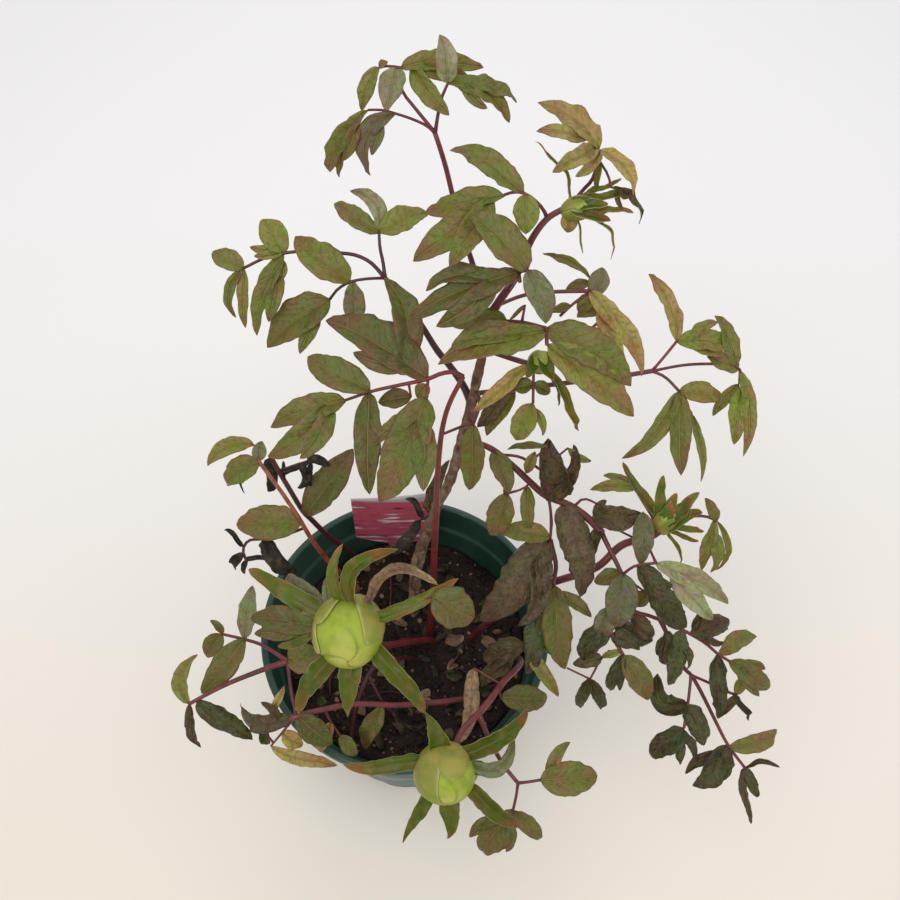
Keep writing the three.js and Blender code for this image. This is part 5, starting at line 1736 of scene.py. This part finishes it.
# Every growth, after the one that carries it.
GROWTHS = [
    Growth("trunk", "", "bark", GREEN, BARK, [
        Stalk([[414, 612, 145], [418, 559, 231], [426, 536, 258], [436, 508, 290], [449, 482, 317],
          [462, 440, 358], [470, 410, 383], [478, 375, 411], [489, 318, 453]], 12, 10),
        Stalk([[489, 318, 453], [500, 300, 463], [515, 278, 476], [533, 237, 499], [548, 218, 508],
          [565, 208, 514]], 9, 6, CRIMSON),
        Stalk([[487, 320, 452], [484, 300, 462]], 6, 4, CRIMSON),
        Stalk([[430, 528, 264], [424, 540, 245], [417, 563, 215]], 5, 4),
    ]),
    Growth("leaf_top", "trunk", "leaf_green", OLIVE, CRIMSON, [
        Stalk([[484, 306, 458], [472, 262, 468], [460, 225, 480], [453, 197, 492], [446, 168, 508],
          [440, 148, 520], [435, 133, 528]], 6, 5),
        Stalk([[435, 133, 528], [428, 124, 532], [415, 108, 538], [402, 90, 544], [401, 68, 550]], 4, 3),
        Stalk([[435, 133, 528], [427, 126, 530], [412, 119, 533], [397, 114, 535], [382, 110, 535],
          [368, 110, 534]], 3, 2),
        Stalk([[435, 133, 528], [441, 100, 542], [448, 83, 551]], 4, 3),
        Stalk([[401, 68, 550], [390, 66, 549], [379, 67, 548]], 3, 2),
        Leaflet([402, 66, 550], [484, 67, 546], 24, [[446, 118], [468, 78]], 6, 20),
        Leaflet([396, 68, 550], [386, 110, 540], 26, tone=SHEEN),
        Leaflet([379, 68, 548], [361, 111, 530], 17, [], -4, tone=OLIVE),
        Leaflet([379, 68, 548], [387, 61, 552], 9),
        Leaflet([396, 114, 535], [369, 176, 504], 20, [[374, 155]], -18, tone=GREY_SHEEN),
        Leaflet([368, 110, 534], [336, 178, 498], 24, [[329, 172], [347, 160]], -8, tone=GREEN),
        Leaflet([448, 83, 551], [440, 35, 571], 23, tone=SHEEN),
        Leaflet([449, 83, 551], [510, 122, 534], 22, [[485, 110], [517, 101]], 10),
    ]),
    Growth("leaf_shoot_inner", "trunk", "leaf_green", OLIVE, CRIMSON, [
        Stalk([[547, 219, 508], [543, 209, 512], [531, 197, 516], [524, 193, 518]], 4, 3),
        Stalk([[524, 193, 518], [514, 192, 517], [504, 195, 516]], 3, 3),
        Leaflet([524, 194, 518], [450, 145, 526], 27),
        Leaflet([504, 195, 516], [424, 211, 500], 26, [[415, 263], [456, 272]]),
        Leaflet([525, 198, 517], [526, 234, 506], 27),
    ]),
    Growth("bud_top", "trunk", "bud_green", BRACT, CRIMSON, [
        Stalk([[563, 209, 513], [572, 208, 515]], 7, 8),
        Core([578, 208, 515], [0.95, 0.1, 0.25], 6, 1.4, [[20, 55, 35], [140, 55, 35], [260, 55, 30]]),
        Leaflet([567, 203, 516], [537, 140, 536], 3, [], -14),
        Leaflet([577, 197, 518], [622, 176, 524], 6),
        Leaflet([580, 203, 518], [632, 194, 520], 9),
        Leaflet([582, 213, 516], [634, 212, 514], 10, [[602, 224]]),
        Leaflet([568, 205, 518], [608, 202, 521], 15),
        Leaflet([568, 210, 517], [611, 219, 517], 15, [], -3),
        Leaflet([580, 226, 512], [614, 259, 498], 3, [], 12),
        Leaflet([575, 230, 510], [584, 254, 500], 2, [], 2),
        Leaflet([569, 211, 513], [568, 233, 504], 18, tone=TAN),
        Stalk([[568, 204, 513], [582, 191, 518], [592, 180, 525], [597, 165, 533], [599, 150, 540]], 4, 4),
        Stalk([[603, 160, 536], [608, 175, 528], [611, 187, 524]], 2, 2),
        Leaflet([598, 150, 540], [538, 102, 548], 26, [[537, 134], [552, 177], [576, 177]], -8, tone=TAN),
        Leaflet([600, 148, 540], [637, 194, 524], 18, [], 5, tone=TAN),
        Leaflet([603, 160, 536], [597, 190, 520], 7, tone=OLIVE),
        Leaflet([611, 187, 524], [644, 223, 508], 8, [[620, 208]], 5, tone=RUSSET),
    ]),
    Growth("leaf_crown", "trunk", "leaf_green", GREEN, CRIMSON, [
        Stalk([[508, 288, 468], [514, 280, 482], [518, 272, 495], [528, 270, 499]], 5, 4),
        Stalk([[518, 272, 495], [520, 282, 494]], 4, 4),
        Leaflet([530, 271, 499], [470, 213, 518], 38),
        Leaflet([517, 270, 497], [407, 318, 478], 34, [[427, 291], [438, 328]]),
        Leaflet([535, 270, 500], [547, 323, 484], 29, tone=GREY_SHEEN),
    ]),
    Growth("leaf_middle", "trunk", "leaf_green", OLIVE, CRIMSON, [
        Stalk([[492, 318, 450], [520, 322, 458], [546, 328, 466]], 4, 4),
        Stalk([[546, 328, 466], [547, 345, 464]], 4, 4),
        Leaflet([543, 330, 467], [438, 362, 462], 40, [[450, 350]]),
        Leaflet([551, 321, 468], [631, 386, 450], 40, [], 3),
        Leaflet([549, 345, 464], [635, 416, 440], 39),
        Leaflet([505, 327, 455], [446, 325, 452], 25),
        Leaflet([525, 305, 464], [509, 320, 458], 4),
    ]),
    Growth("leaf_rear_right", "trunk", "leaf_green", OLIVE, CRIMSON, [
        Stalk([[500, 302, 456], [525, 295, 450], [551, 292, 445], [589, 291, 440]], 4, 4),
        Stalk([[589, 291, 440], [590, 278, 441]], 3, 3),
        Stalk([[589, 293, 440], [607, 312, 431], [592, 328, 425]], 3, 3),
        Stalk([[589, 293, 440], [573, 304, 435], [560, 316, 430]], 3, 3),
        Leaflet([588, 277, 441], [543, 252, 446], 8, [], -5),
        Leaflet([597, 292, 440], [602, 267, 446], 21, tone=GREY_SHEEN),
        Leaflet([588, 283, 440], [565, 291, 436], 12),
        Leaflet([592, 290, 441], [645, 374, 418], 22, [[621, 362]], tone=TAN),
        Leaflet([603, 306, 432], [577, 317, 430], 16, tone=GREEN),
        Leaflet([567, 301, 436], [551, 312, 432], 9),
        Leaflet([592, 295, 436], [577, 311, 430], 16),
    ]),
    Growth("leaf_right", "trunk", "leaf_green", OLIVE, CRIMSON, [
        Stalk([[474, 392, 396], [520, 388, 397], [549, 385, 398], [590, 380, 398], [628, 375, 398],
          [652, 371, 398]], 5, 5),
        Stalk([[652, 371, 398], [664, 357, 403], [677, 341, 408]], 3, 3),
        Stalk([[652, 371, 398], [685, 365, 400], [715, 364, 400], [735, 366, 398], [740, 370, 396]], 3, 3),
        Stalk([[652, 371, 398], [665, 377, 397], [679, 391, 394]], 3, 3),
        Leaflet([676, 341, 408], [650, 272, 424], 17, [], -7, tone=TAN),
        Leaflet([679, 342, 408], [737, 347, 400], 26, [[725, 358], [715, 323]]),
        Leaflet([737, 362, 398], [716, 314, 410], 18),
        Leaflet([739, 372, 397], [708, 354, 402], 20),
        Leaflet([740, 370, 396], [745, 456, 372], 15, [[733, 444]], 5),
        Leaflet([739, 384, 392], [713, 416, 380], 12),
        Leaflet([679, 391, 394], [622, 458, 374], 17, [], 6),
        Leaflet([680, 393, 394], [724, 397, 388], 22),
        Leaflet([684, 398, 393], [683, 475, 372], 22),
        Leaflet([692, 414, 388], [702, 482, 368], 9),
    ]),
    Growth("leaf_left", "trunk", "leaf_green", OLIVE, PURPLE, [
        Stalk([[474, 400, 388], [463, 385, 398], [450, 366, 410], [437, 350, 420], [420, 323, 432],
          [400, 295, 444], [385, 278, 450]], 8, 5),
        Stalk([[385, 278, 450], [383, 262, 456], [380, 248, 462], [379, 232, 468]], 4, 3),
        Stalk([[385, 278, 450], [370, 262, 456], [355, 255, 459], [340, 253, 460], [315, 251, 460],
          [292, 252, 459], [265, 258, 456], [244, 268, 452]], 4, 3),
        Stalk([[385, 278, 450], [365, 279, 452], [350, 282, 452], [338, 289, 447], [330, 299, 440]], 3, 3),
        Leaflet([381, 231, 468], [428, 212, 474], 28),
        Leaflet([379, 231, 468], [334, 201, 472], 22, [], 6),
        Leaflet([380, 229, 468], [350, 190, 478], 17, [], -14, tone=SHEEN),
        Leaflet([284, 251, 459], [262, 218, 466], 28, [[251, 249], [255, 258]]),
        Leaflet([283, 252, 459], [255, 335, 432], 22, [[270, 322], [283, 280]]),
        Leaflet([244, 268, 452], [212, 251, 456], 22),
        Leaflet([242, 272, 452], [245, 328, 430], 12),
        Leaflet([240, 271, 452], [235, 318, 432], 12, [], -8),
        Leaflet([350, 282, 452], [295, 236, 466], 34),
        Leaflet([354, 282, 452], [357, 325, 422], 22, tone=GREY_SHEEN),
        Leaflet([330, 299, 440], [266, 347, 422], 40, [[303, 355]]),
    ]),
    Growth("leaf_front", "", "leaf_green", GREEN, SCARLET, [
        Stalk([[428, 640, 145], [433, 600, 200], [434, 560, 265], [436, 520, 325], [438, 467, 375],
          [443, 425, 405], [450, 402, 420], [463, 377, 434]], 8, 5),
        Stalk([[463, 377, 434], [453, 372, 436], [440, 374, 436], [428, 379, 435], [400, 385, 434],
          [373, 391, 432], [346, 400, 428]], 5, 3),
        Stalk([[428, 379, 435], [427, 398, 432]], 3, 3),
        Leaflet([428, 378, 435], [325, 318, 448], 50, [[385, 283], [354, 355]]),
        Leaflet([370, 390, 432], [307, 355, 438], 33),
        Leaflet([346, 400, 428], [270, 427, 418], 28, [[268, 457], [303, 460]]),
        Leaflet([369, 392, 432], [369, 494, 408], 28),
        Leaflet([427, 398, 432], [378, 501, 408], 46, [[376, 446], [425, 491]]),
        Leaflet([427, 385, 433], [418, 399, 428], 16),
        Leaflet([411, 397, 425], [378, 402, 422], 20),
    ]),
    Growth("bud_centre", "trunk", "bud_green", BRACT, CRIMSON, [
        Stalk([[484, 345, 430], [510, 358, 432], [530, 364, 438]], 5, 6),
        Core([540, 362, 440], [0.3, -0.4, 0.85], 6.4, 1.15, [[30, 50, 30], [150, 50, 30], [270, 50, 30]]),
        Leaflet([530, 364, 438], [472, 411, 412], 16, tone=TAN),
        Leaflet([543, 350, 447], [555, 379, 441], 17),
        Leaflet([538, 352, 446], [526, 377, 440], 13),
        Leaflet([550, 374, 436], [560, 407, 420], 5, [], 3, tone=RUSSET),
        Leaflet([556, 378, 435], [583, 433, 408], 9, [], 6),
        Stalk([[533, 368, 436], [533, 403, 424]], 3, 3),
        Leaflet([533, 404, 424], [515, 441, 404], 26, [[545, 433]], tone=OLIVE),
        Leaflet([533, 384, 430], [551, 392, 426], 14, tone=GREEN),
        Leaflet([533, 384, 430], [514, 388, 426], 16, tone=GREEN),
    ]),
    Growth("leaf_trunk", "trunk", "leaf_dry", DRY, PURPLE, [
        Stalk([[436, 508, 290], [430, 514, 285], [424, 518, 277], [420, 520, 270]], 4, 3),
        Leaflet([420, 520, 270], [378, 549, 250], 19, [], 5),
        Leaflet([424, 518, 276], [404, 497, 280], 10),
        Leaflet([430, 514, 284], [447, 464, 318], 17, tone=RUSSET),
    ]),
    Growth("leaf_centre", "trunk", "leaf_green", OLIVE, CRIMSON, [
        Stalk([[477, 390, 400], [480, 402, 402], [477, 413, 396], [473, 424, 388]], 4, 4),
        Stalk([[478, 408, 398], [500, 396, 391], [515, 392, 387]], 3, 3),
        Stalk([[474, 422, 389], [463, 426, 388], [443, 434, 389]], 3, 3),
        Leaflet([473, 424, 387], [469, 491, 354], 25),
        Leaflet([505, 396, 390], [476, 427, 376], 18, tone=RUSSET),
        Leaflet([515, 392, 387], [486, 436, 368], 18),
    ]),
    Growth("shoot_right", "trunk", "leaf_green", WILTED, CRIMSON, [
        Stalk([[462, 434, 358], [490, 448, 345], [513, 466, 336], [530, 482, 328], [545, 495, 322],
          [571, 506, 314], [590, 520, 306], [602, 533, 300]], 6, 8),
        Stalk([[602, 533, 302], [610, 550, 298], [622, 575, 290], [632, 609, 278], [650, 616, 272],
          [675, 626, 264], [705, 643, 254], [718, 654, 250], [729, 661, 247]], 5, 3),
        Stalk([[500, 455, 342], [520, 457, 342], [541, 470, 334]], 3, 3),
        Stalk([[574, 508, 314], [583, 499, 318], [600, 505, 312]], 3, 2),
        Stalk([[548, 498, 320], [552, 525, 306], [550, 536, 302]], 3, 2),
        Leaflet([497, 447, 347], [509, 493, 330], 21, tone=GREEN),
        Leaflet([548, 446, 352], [507, 449, 346], 7, tone=GREEN),
        Leaflet([535, 452, 345], [526, 474, 332], 12, tone=TAN),
        Leaflet([568, 448, 348], [592, 461, 340], 8, [], -5, tone=OLIVE),
        Leaflet([596, 528, 302], [590, 566, 290], 15),
        Leaflet([556, 502, 318], [549, 440, 356], 36, [[572, 446]], tone=RUSSET),
        Leaflet([563, 507, 316], [583, 599, 286], 38, tone=RUSSET),
        Leaflet([550, 536, 302], [500, 533, 296], 22, tone=OLIVE),
        Leaflet([619, 572, 291], [594, 582, 282], 16, tone=GREEN),
        Leaflet([721, 654, 250], [758, 636, 246], 18, [], 5, tone=GREEN),
        Leaflet([729, 661, 247], [773, 688, 232], 30, [[763, 668], [757, 696]], tone=GREEN),
        Leaflet([717, 656, 250], [720, 721, 226], 21, [], -6),
        Leaflet([682, 630, 262], [670, 689, 238], 25, [[688, 668]], tone=WILTED),
        Leaflet([631, 616, 268], [656, 637, 258], 20, tone=RUSSET),
        Leaflet([693, 631, 262], [733, 624, 252], 24, [[700, 608], [723, 643]], tone=RUSSET),
    ]),
    Growth("leaf_below_centre", "shoot_right", "leaf_green", GREEN, CRIMSON, [
        Stalk([[513, 466, 336], [506, 480, 330], [505, 494, 322]], 4, 4),
        Stalk([[505, 494, 322], [522, 489, 322], [529, 484, 324]], 3, 2),
        Leaflet([507, 495, 320], [490, 536, 300], 27),
        Leaflet([528, 487, 323], [529, 531, 303], 15),
    ]),
    Growth("leaf_right_upper", "shoot_right", "leaf_green", GREY_SHEEN, CRIMSON, [
        Stalk([[622, 575, 290], [635, 566, 298], [656, 563, 300]], 3, 3),
        Stalk([[656, 563, 300], [648, 545, 298]], 3, 2),
        Leaflet([592, 517, 308], [641, 512, 314], 34, [[606, 502]], tone=RUSSET),
        Leaflet([643, 512, 314], [641, 565, 296], 22),
        Leaflet([656, 563, 300], [731, 604, 284], 22, [[711, 620]], tone=SHEEN),
        Leaflet([638, 567, 296], [692, 629, 272], 32, tone=WILTED),
        Leaflet([622, 576, 294], [616, 628, 272], 34, tone=GREY_SHEEN),
        Leaflet([648, 594, 275], [631, 604, 270], 16, tone=GREEN),
    ]),
    Growth("leaf_right_low", "shoot_right", "leaf_green", WILTED, CRIMSON, [
        Stalk([[655, 618, 262], [672, 645, 250], [684, 668, 240], [691, 675, 236], [700, 690, 230],
          [714, 718, 220], [728, 745, 212], [745, 768, 205]], 5, 3),
        Stalk([[691, 675, 236], [705, 681, 234], [728, 692, 228], [737, 695, 226]], 3, 3),
        Stalk([[691, 675, 236], [689, 695, 230], [684, 728, 220]], 3, 3),
        Leaflet([659, 625, 257], [668, 668, 236], 25, [[657, 654]]),
        Leaflet([687, 704, 228], [659, 674, 236], 24, [], 16),
        Leaflet([688, 705, 228], [707, 748, 208], 26),
        Leaflet([684, 728, 220], [652, 760, 204], 28, [[681, 763], [695, 759]]),
        Leaflet([727, 746, 212], [693, 788, 194], 30, [[685, 773]]),
        Leaflet([730, 746, 212], [779, 729, 208], 18, [], -5, tone=GREEN),
        Leaflet([746, 768, 205], [782, 768, 200], 6, [], 9),
        Leaflet([745, 769, 205], [754, 827, 186], 9, [], -10, tone=RUSSET),
        Leaflet([748, 770, 205], [759, 798, 194], 14),
        Leaflet([737, 695, 226], [719, 719, 220], 11, tone=RUSSET),
        Leaflet([740, 698, 225], [752, 723, 214], 10, [], -4, tone=DRY),
        Leaflet([737, 693, 228], [744, 674, 232], 11, tone=OLIVE),
    ]),
    Growth("bud_right", "", "bud_green", BRACT, CRIMSON, [
        Stalk([[470, 640, 145], [500, 612, 215], [520, 592, 238], [560, 580, 262], [597, 567, 275],
          [622, 545, 286], [652, 536, 298], [660, 530, 303]], 7, 8),
        Core([665, 520, 305], [0.3, 0.1, 1], 8.4, 1.25, [[0, 50, 25], [90, 50, 25], [180, 50, 25],
                [270, 50, 25]]),
        Leaflet([650, 514, 310], [624, 462, 330], 10),
        Leaflet([635, 490, 320], [590, 489, 316], 12, [], -4, tone=OLIVE),
        Leaflet([634, 486, 321], [603, 475, 318], 10, tone=OLIVE),
        Leaflet([656, 520, 310], [665, 476, 326], 12),
        Leaflet([658, 524, 311], [677, 494, 322], 15),
        Leaflet([660, 528, 310], [690, 497, 318], 17),
        Leaflet([664, 532, 306], [704, 512, 308], 13),
        Leaflet([661, 532, 307], [671, 503, 322], 15),
        Leaflet([667, 534, 305], [690, 508, 317], 13),
        Leaflet([676, 518, 308], [700, 492, 316], 11, tone=OLIVE),
        Leaflet([674, 527, 305], [706, 531, 298], 7),
        Leaflet([668, 538, 300], [701, 541, 294], 5),
        Leaflet([668, 540, 299], [682, 566, 286], 4),
        Stalk([[684, 520, 307], [697, 516, 304], [708, 517, 303], [717, 521, 301]], 3, 3),
        Leaflet([717, 521, 301], [705, 498, 308], 12, tone=OLIVE),
        Leaflet([718, 522, 301], [717, 571, 280], 7, [], 8, tone=OLIVE),
        Leaflet([712, 527, 300], [702, 571, 280], 14, [[712, 573]], tone=OLIVE),
    ]),
    Growth("leaf_inner_right", "shoot_right", "leaf_green", WILTED, CRIMSON, [
        Stalk([[551, 500, 318], [551, 516, 300], [551, 530, 294], [550, 540, 288]], 3, 3),
        Stalk([[550, 540, 288], [556, 565, 280], [553, 584, 270]], 5, 4),
        Leaflet([550, 540, 288], [478, 622, 262], 50, [[520, 626], [540, 600]], tone=RUSSET),
        Leaflet([548, 584, 268], [566, 671, 236], 30, [[590, 614]], tone=GREEN),
        Stalk([[553, 584, 270], [540, 595, 262], [538, 612, 254], [531, 632, 246], [520, 650, 238],
          [512, 658, 232]], 3, 3),
        Leaflet([538, 612, 254], [527, 676, 234], 25),
        Leaflet([549, 613, 250], [552, 658, 228], 19),
        Leaflet([520, 640, 240], [480, 655, 225], 28, tone=RUSSET),
        Leaflet([524, 645, 240], [559, 697, 222], 15, tone=OLIVE),
        Leaflet([512, 658, 232], [480, 688, 220], 20, tone=RUSSET),
    ]),
    Growth("leaf_hanging", "shoot_right", "leaf_green", WILTED, CRIMSON, [
        Stalk([[625, 584, 287], [612, 602, 278], [608, 622, 268], [612, 635, 264], [623, 655, 256]], 5, 4),
        Stalk([[610, 651, 250], [600, 660, 246], [595, 670, 242], [590, 679, 238]], 3, 2),
        Stalk([[590, 680, 238], [567, 668, 240]], 2, 2),
        Leaflet([586, 683, 238], [581, 711, 222], 15),
        Leaflet([589, 684, 238], [602, 711, 222], 15),
        Leaflet([600, 655, 248], [572, 664, 240], 16, tone=RUSSET),
        Leaflet([610, 620, 266], [582, 662, 250], 27),
        Leaflet([607, 621, 262], [577, 641, 252], 13, tone=RUSSET),
        Leaflet([616, 622, 258], [654, 641, 248], 24, [], -4),
        Leaflet([617, 657, 255], [611, 695, 236], 16, [[620, 690]]),
        Leaflet([622, 656, 256], [649, 700, 238], 26, tone=GREEN),
        Leaflet([617, 652, 255], [601, 657, 250], 8, tone=OLIVE),
        Leaflet([612, 606, 275], [600, 640, 262], 22, tone=GREY_SHEEN),
        Leaflet([612, 634, 264], [640, 650, 262], 20),
    ]),
    Growth("bud_left", "", "bud_green", BRACT, SCARLET, [
        Stalk([[432, 641, 155], [405, 643, 200], [378, 645, 260], [355, 640, 300]], 7, 7),
        Core([349, 632, 314], [0.05, -0.94, 0.36], 21, 1.08,
          [[135, 38, 40], [38, 34, 76], [352, 34, 50], [250, 40, 60]]),
        Leaflet([344, 597, 330], [342, 546, 350], 13, [], 10),
        Leaflet([360, 597, 334], [395, 551, 350], 18, [], 29),
        Leaflet([376, 600, 328], [436, 585, 338], 14, [], 24, tone=HUSK),
        Leaflet([384, 611, 326], [457, 578, 336], 15, [], -6),
        Leaflet([432, 596, 334], [475, 618, 322], 40, tone=GREEN),
        Leaflet([382, 648, 314], [426, 716, 290], 20, [], -4),
        Leaflet([353, 666, 306], [347, 719, 286], 24, tone=SPIKE),
        Leaflet([328, 660, 308], [297, 714, 294], 22),
        Leaflet([310, 628, 316], [276, 646, 312], 12),
        Leaflet([320, 606, 322], [245, 567, 322], 21, [], 4),
        Leaflet([298, 622, 318], [248, 618, 310], 28, [[256, 634]], tone=GREEN),
        Leaflet([305, 598, 316], [286, 572, 310], 24, tone=GREY_SHEEN),
        Leaflet([318, 598, 322], [325, 578, 316], 12, tone=GREY_SHEEN),
    ]),
    Growth("bud_front", "", "bud_green", BRACT, CRIMSON, [
        Stalk([[500, 640, 145], [515, 655, 195], [520, 664, 225], [503, 682, 240], [495, 693, 244],
          [480, 712, 250], [461, 733, 258], [452, 757, 262]], 6, 7),
        Core([446, 774, 256], [0.05, -1, 0.05], 18.5, 1,
          [[58, 44, 62], [350, 44, 12], [150, 34, 78], [240, 44, 40]]),
        Leaflet([420, 758, 262], [342, 765, 260], 17, [], -3),
        Leaflet([441, 746, 268], [425, 712, 282], 22, tone=SPIKE),
        Leaflet([466, 748, 266], [529, 709, 268], 19, [], -6),
        Leaflet([474, 753, 262], [514, 735, 260], 15, [], -24, tone=GREY_SHEEN),
        Leaflet([476, 764, 258], [506, 770, 254], 15, tone=SPIKE),
        Leaflet([472, 786, 252], [524, 828, 238], 18, [], -4),
        Leaflet([451, 803, 244], [447, 842, 228], 21, tone=SPIKE),
        Leaflet([425, 796, 246], [402, 845, 226], 15, [], 3, tone=SPIKE),
        Leaflet([501, 697, 236], [549, 700, 224], 26, tone=GREEN),
        Leaflet([474, 668, 240], [458, 742, 232], 18, tone=HUSK),
    ]),
    Growth("leaf_front_right", "bud_front", "leaf_green", GREEN, CRIMSON, [
        Stalk([[478, 715, 249], [492, 745, 243], [505, 767, 240], [518, 783, 236]], 5, 4),
        Stalk([[518, 783, 236], [528, 782, 235], [540, 780, 233]], 3, 3),
        Stalk([[518, 783, 236], [516, 797, 228], [513, 810, 222]], 3, 3),
        Leaflet([540, 780, 233], [599, 776, 226], 34, [[567, 742]]),
        Leaflet([516, 812, 222], [481, 855, 196], 34, [[470, 835], [508, 849]]),
        Leaflet([521, 812, 221], [541, 842, 202], 17),
    ]),
    Growth("shoot_left_orange", "", "leaf_green", OLIVE, ORANGE, [
        Stalk([[356, 592, 145], [340, 573, 185], [330, 563, 210], [312, 540, 250], [303, 525, 272],
          [297, 515, 283], [280, 490, 305], [260, 463, 322]], 6, 4),
        Stalk([[260, 463, 322], [254, 445, 323]], 3, 2),
        Leaflet([254, 445, 322], [206, 465, 316], 18, [], -8),
        Leaflet([258, 461, 322], [225, 485, 306], 28),
        Leaflet([262, 460, 322], [262, 441, 328], 15, tone=GREY_SHEEN),
        Leaflet([299, 525, 274], [235, 524, 268], 35, tone=GREEN),
        Leaflet([256, 455, 318], [241, 496, 300], 6, tone=DRY),
    ]),
    Growth("leaf_black", "shoot_left_orange", "leaf_dry", DRY, PURPLE, [
        Stalk([[303, 527, 268], [285, 535, 262], [264, 539, 262], [248, 541, 258], [243, 550, 254],
          [247, 562, 248]], 3, 3),
        Leaflet([264, 539, 262], [300, 573, 236], 27, [], -4),
        Leaflet([243, 553, 252], [231, 571, 240], 15),
        Leaflet([249, 557, 250], [270, 562, 244], 8),
        Leaflet([242, 546, 254], [223, 529, 258], 8),
        Leaflet([246, 560, 249], [243, 575, 242], 9),
    ]),
    Growth("shoot_left_dark", "", "leaf_green", DRY, PURPLE, [
        Stalk([[364, 560, 145], [357, 556, 168], [340, 545, 200], [325, 533, 228], [312, 520, 250],
          [303, 511, 262], [290, 490, 282], [277, 468, 300], [271, 457, 308]], 6, 5),
        Leaflet([306, 516, 270], [352, 448, 292], 32, tone=GREEN),
        Leaflet([269, 458, 300], [266, 493, 286], 19),
        Leaflet([287, 477, 295], [307, 462, 304], 9, [], 4),
        Leaflet([289, 478, 292], [282, 463, 300], 7),
        Leaflet([300, 463, 302], [296, 490, 288], 15, [], 5),
        Leaflet([307, 461, 304], [331, 465, 300], 14, [], 4),
        Leaflet([311, 462, 302], [310, 488, 290], 10),
    ]),
    Growth("leaf_low_left", "", "leaf_green", WILTED, CRIMSON, [
        Stalk([[410, 640, 165], [370, 655, 205], [330, 662, 232], [288, 661, 248]], 6, 6),
        Stalk([[288, 661, 248], [262, 670, 244], [225, 685, 238], [189, 704, 230]], 6, 4),
        Stalk([[288, 661, 248], [262, 645, 246], [247, 640, 244], [222, 634, 240]], 4, 3),
        Stalk([[288, 661, 248], [291, 690, 238], [295, 716, 228], [290, 723, 224], [271, 746, 214]], 4, 2),
        Leaflet([245, 639, 244], [252, 585, 252], 18, tone=GREY_SHEEN),
        Leaflet([221, 634, 240], [206, 658, 230], 20, [[211, 620]], tone=GREEN),
        Leaflet([245, 641, 243], [200, 694, 228], 27, tone=GREEN),
        Leaflet([189, 704, 230], [197, 654, 236], 16, [], 12, tone=OLIVE),
        Leaflet([188, 706, 229], [200, 750, 208], 12, tone=RUSSET),
        Leaflet([198, 699, 231], [253, 742, 210], 22, [], -6),
        Leaflet([289, 660, 249], [320, 652, 254], 32, tone=GREEN),
        Stalk([[470, 690, 150], [466, 698, 185], [400, 705, 206], [355, 704, 214], [325, 709, 220],
          [297, 716, 227], [290, 719, 226]], 6, 6),
        Leaflet([291, 716, 227], [236, 703, 216], 21, [[264, 702]], 8, tone=RUSSET),
        Leaflet([272, 712, 222], [284, 686, 230], 9, tone=TAN),
        Leaflet([262, 728, 214], [269, 746, 204], 12),
        Leaflet([271, 746, 214], [338, 766, 196], 14, [], -6, tone=TAN),
        Leaflet([286, 735, 218], [303, 745, 208], 17, tone=TAN),
        Leaflet([297, 717, 227], [333, 745, 210], 26, tone=GREEN),
        Stalk([[325, 709, 220], [331, 722, 212], [340, 735, 206]], 3, 2),
        Leaflet([331, 722, 212], [320, 753, 198], 17, tone=TAN),
        Leaflet([340, 735, 206], [357, 756, 196], 15, tone=OLIVE),
    ]),
    Growth("leaf_wilted", "", "leaf_dry", DRY, PURPLE, [
        Stalk([[420, 662, 148], [400, 658, 180], [377, 662, 200]], 5, 5),
        Stalk([[377, 662, 200], [366, 680, 192], [356, 708, 178], [351, 740, 162]], 6, 5),
        Stalk([[368, 676, 196], [383, 703, 182], [392, 712, 176]], 4, 3),
        Leaflet([382, 706, 192], [364, 750, 168], 20, tone=OLIVE),
        Leaflet([392, 712, 176], [426, 749, 160], 9),
        Leaflet([398, 720, 174], [428, 740, 164], 5),
        Leaflet([402, 657, 180], [396, 678, 166], 14, tone=RUSSET),
    ]),
]


def main() -> None:
    """Builds the whole potted plant from the pot up, then the studio."""
    logging.basicConfig(level=logging.INFO, format="%(name)s: %(message)s")
    LOG.info("pot: %d faces", len(Pot().build().data.polygons))
    for piece in Soil().build():
        LOG.info("%s: %d faces", piece.name, len(piece.data.polygons))
    LOG.info("label: %d faces", len(PlantLabel().build().data.polygons))
    leaf, stalk, bud, bark = (kind().make(name) for kind, name in (
        (LeafFinish, "leaf"), (StalkFinish, "stalk"), (BudFinish, "bud"), (BarkFinish, "bark")))
    dry = DryLeafFinish().make("leaf_dry")
    wilted = LeafFinish(vein=paint(112, 92, 66), shadow=(0.5, 0.52, 0.5), margin=paint(64, 42, 36),
                        rust=(0.9, 0.74, 0.86), fresh=(1.2, 1.3, 0.86), vein_share=0.3, crumple=1.0)
    wilted = wilted.make("leaf_wilted")
    grown: dict[str, Growth] = {}
    for growth in GROWTHS:
        skins = [bark if growth.slot == "bark" else leaf, stalk, bud, dry, wilted]
        piece = growth.dress(grown, skins)
        grown[growth.name] = growth
        LOG.info("%s: %d faces", piece.name, len(piece.data.polygons))
    Studio().build()


if __name__ == "__main__":
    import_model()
    main()
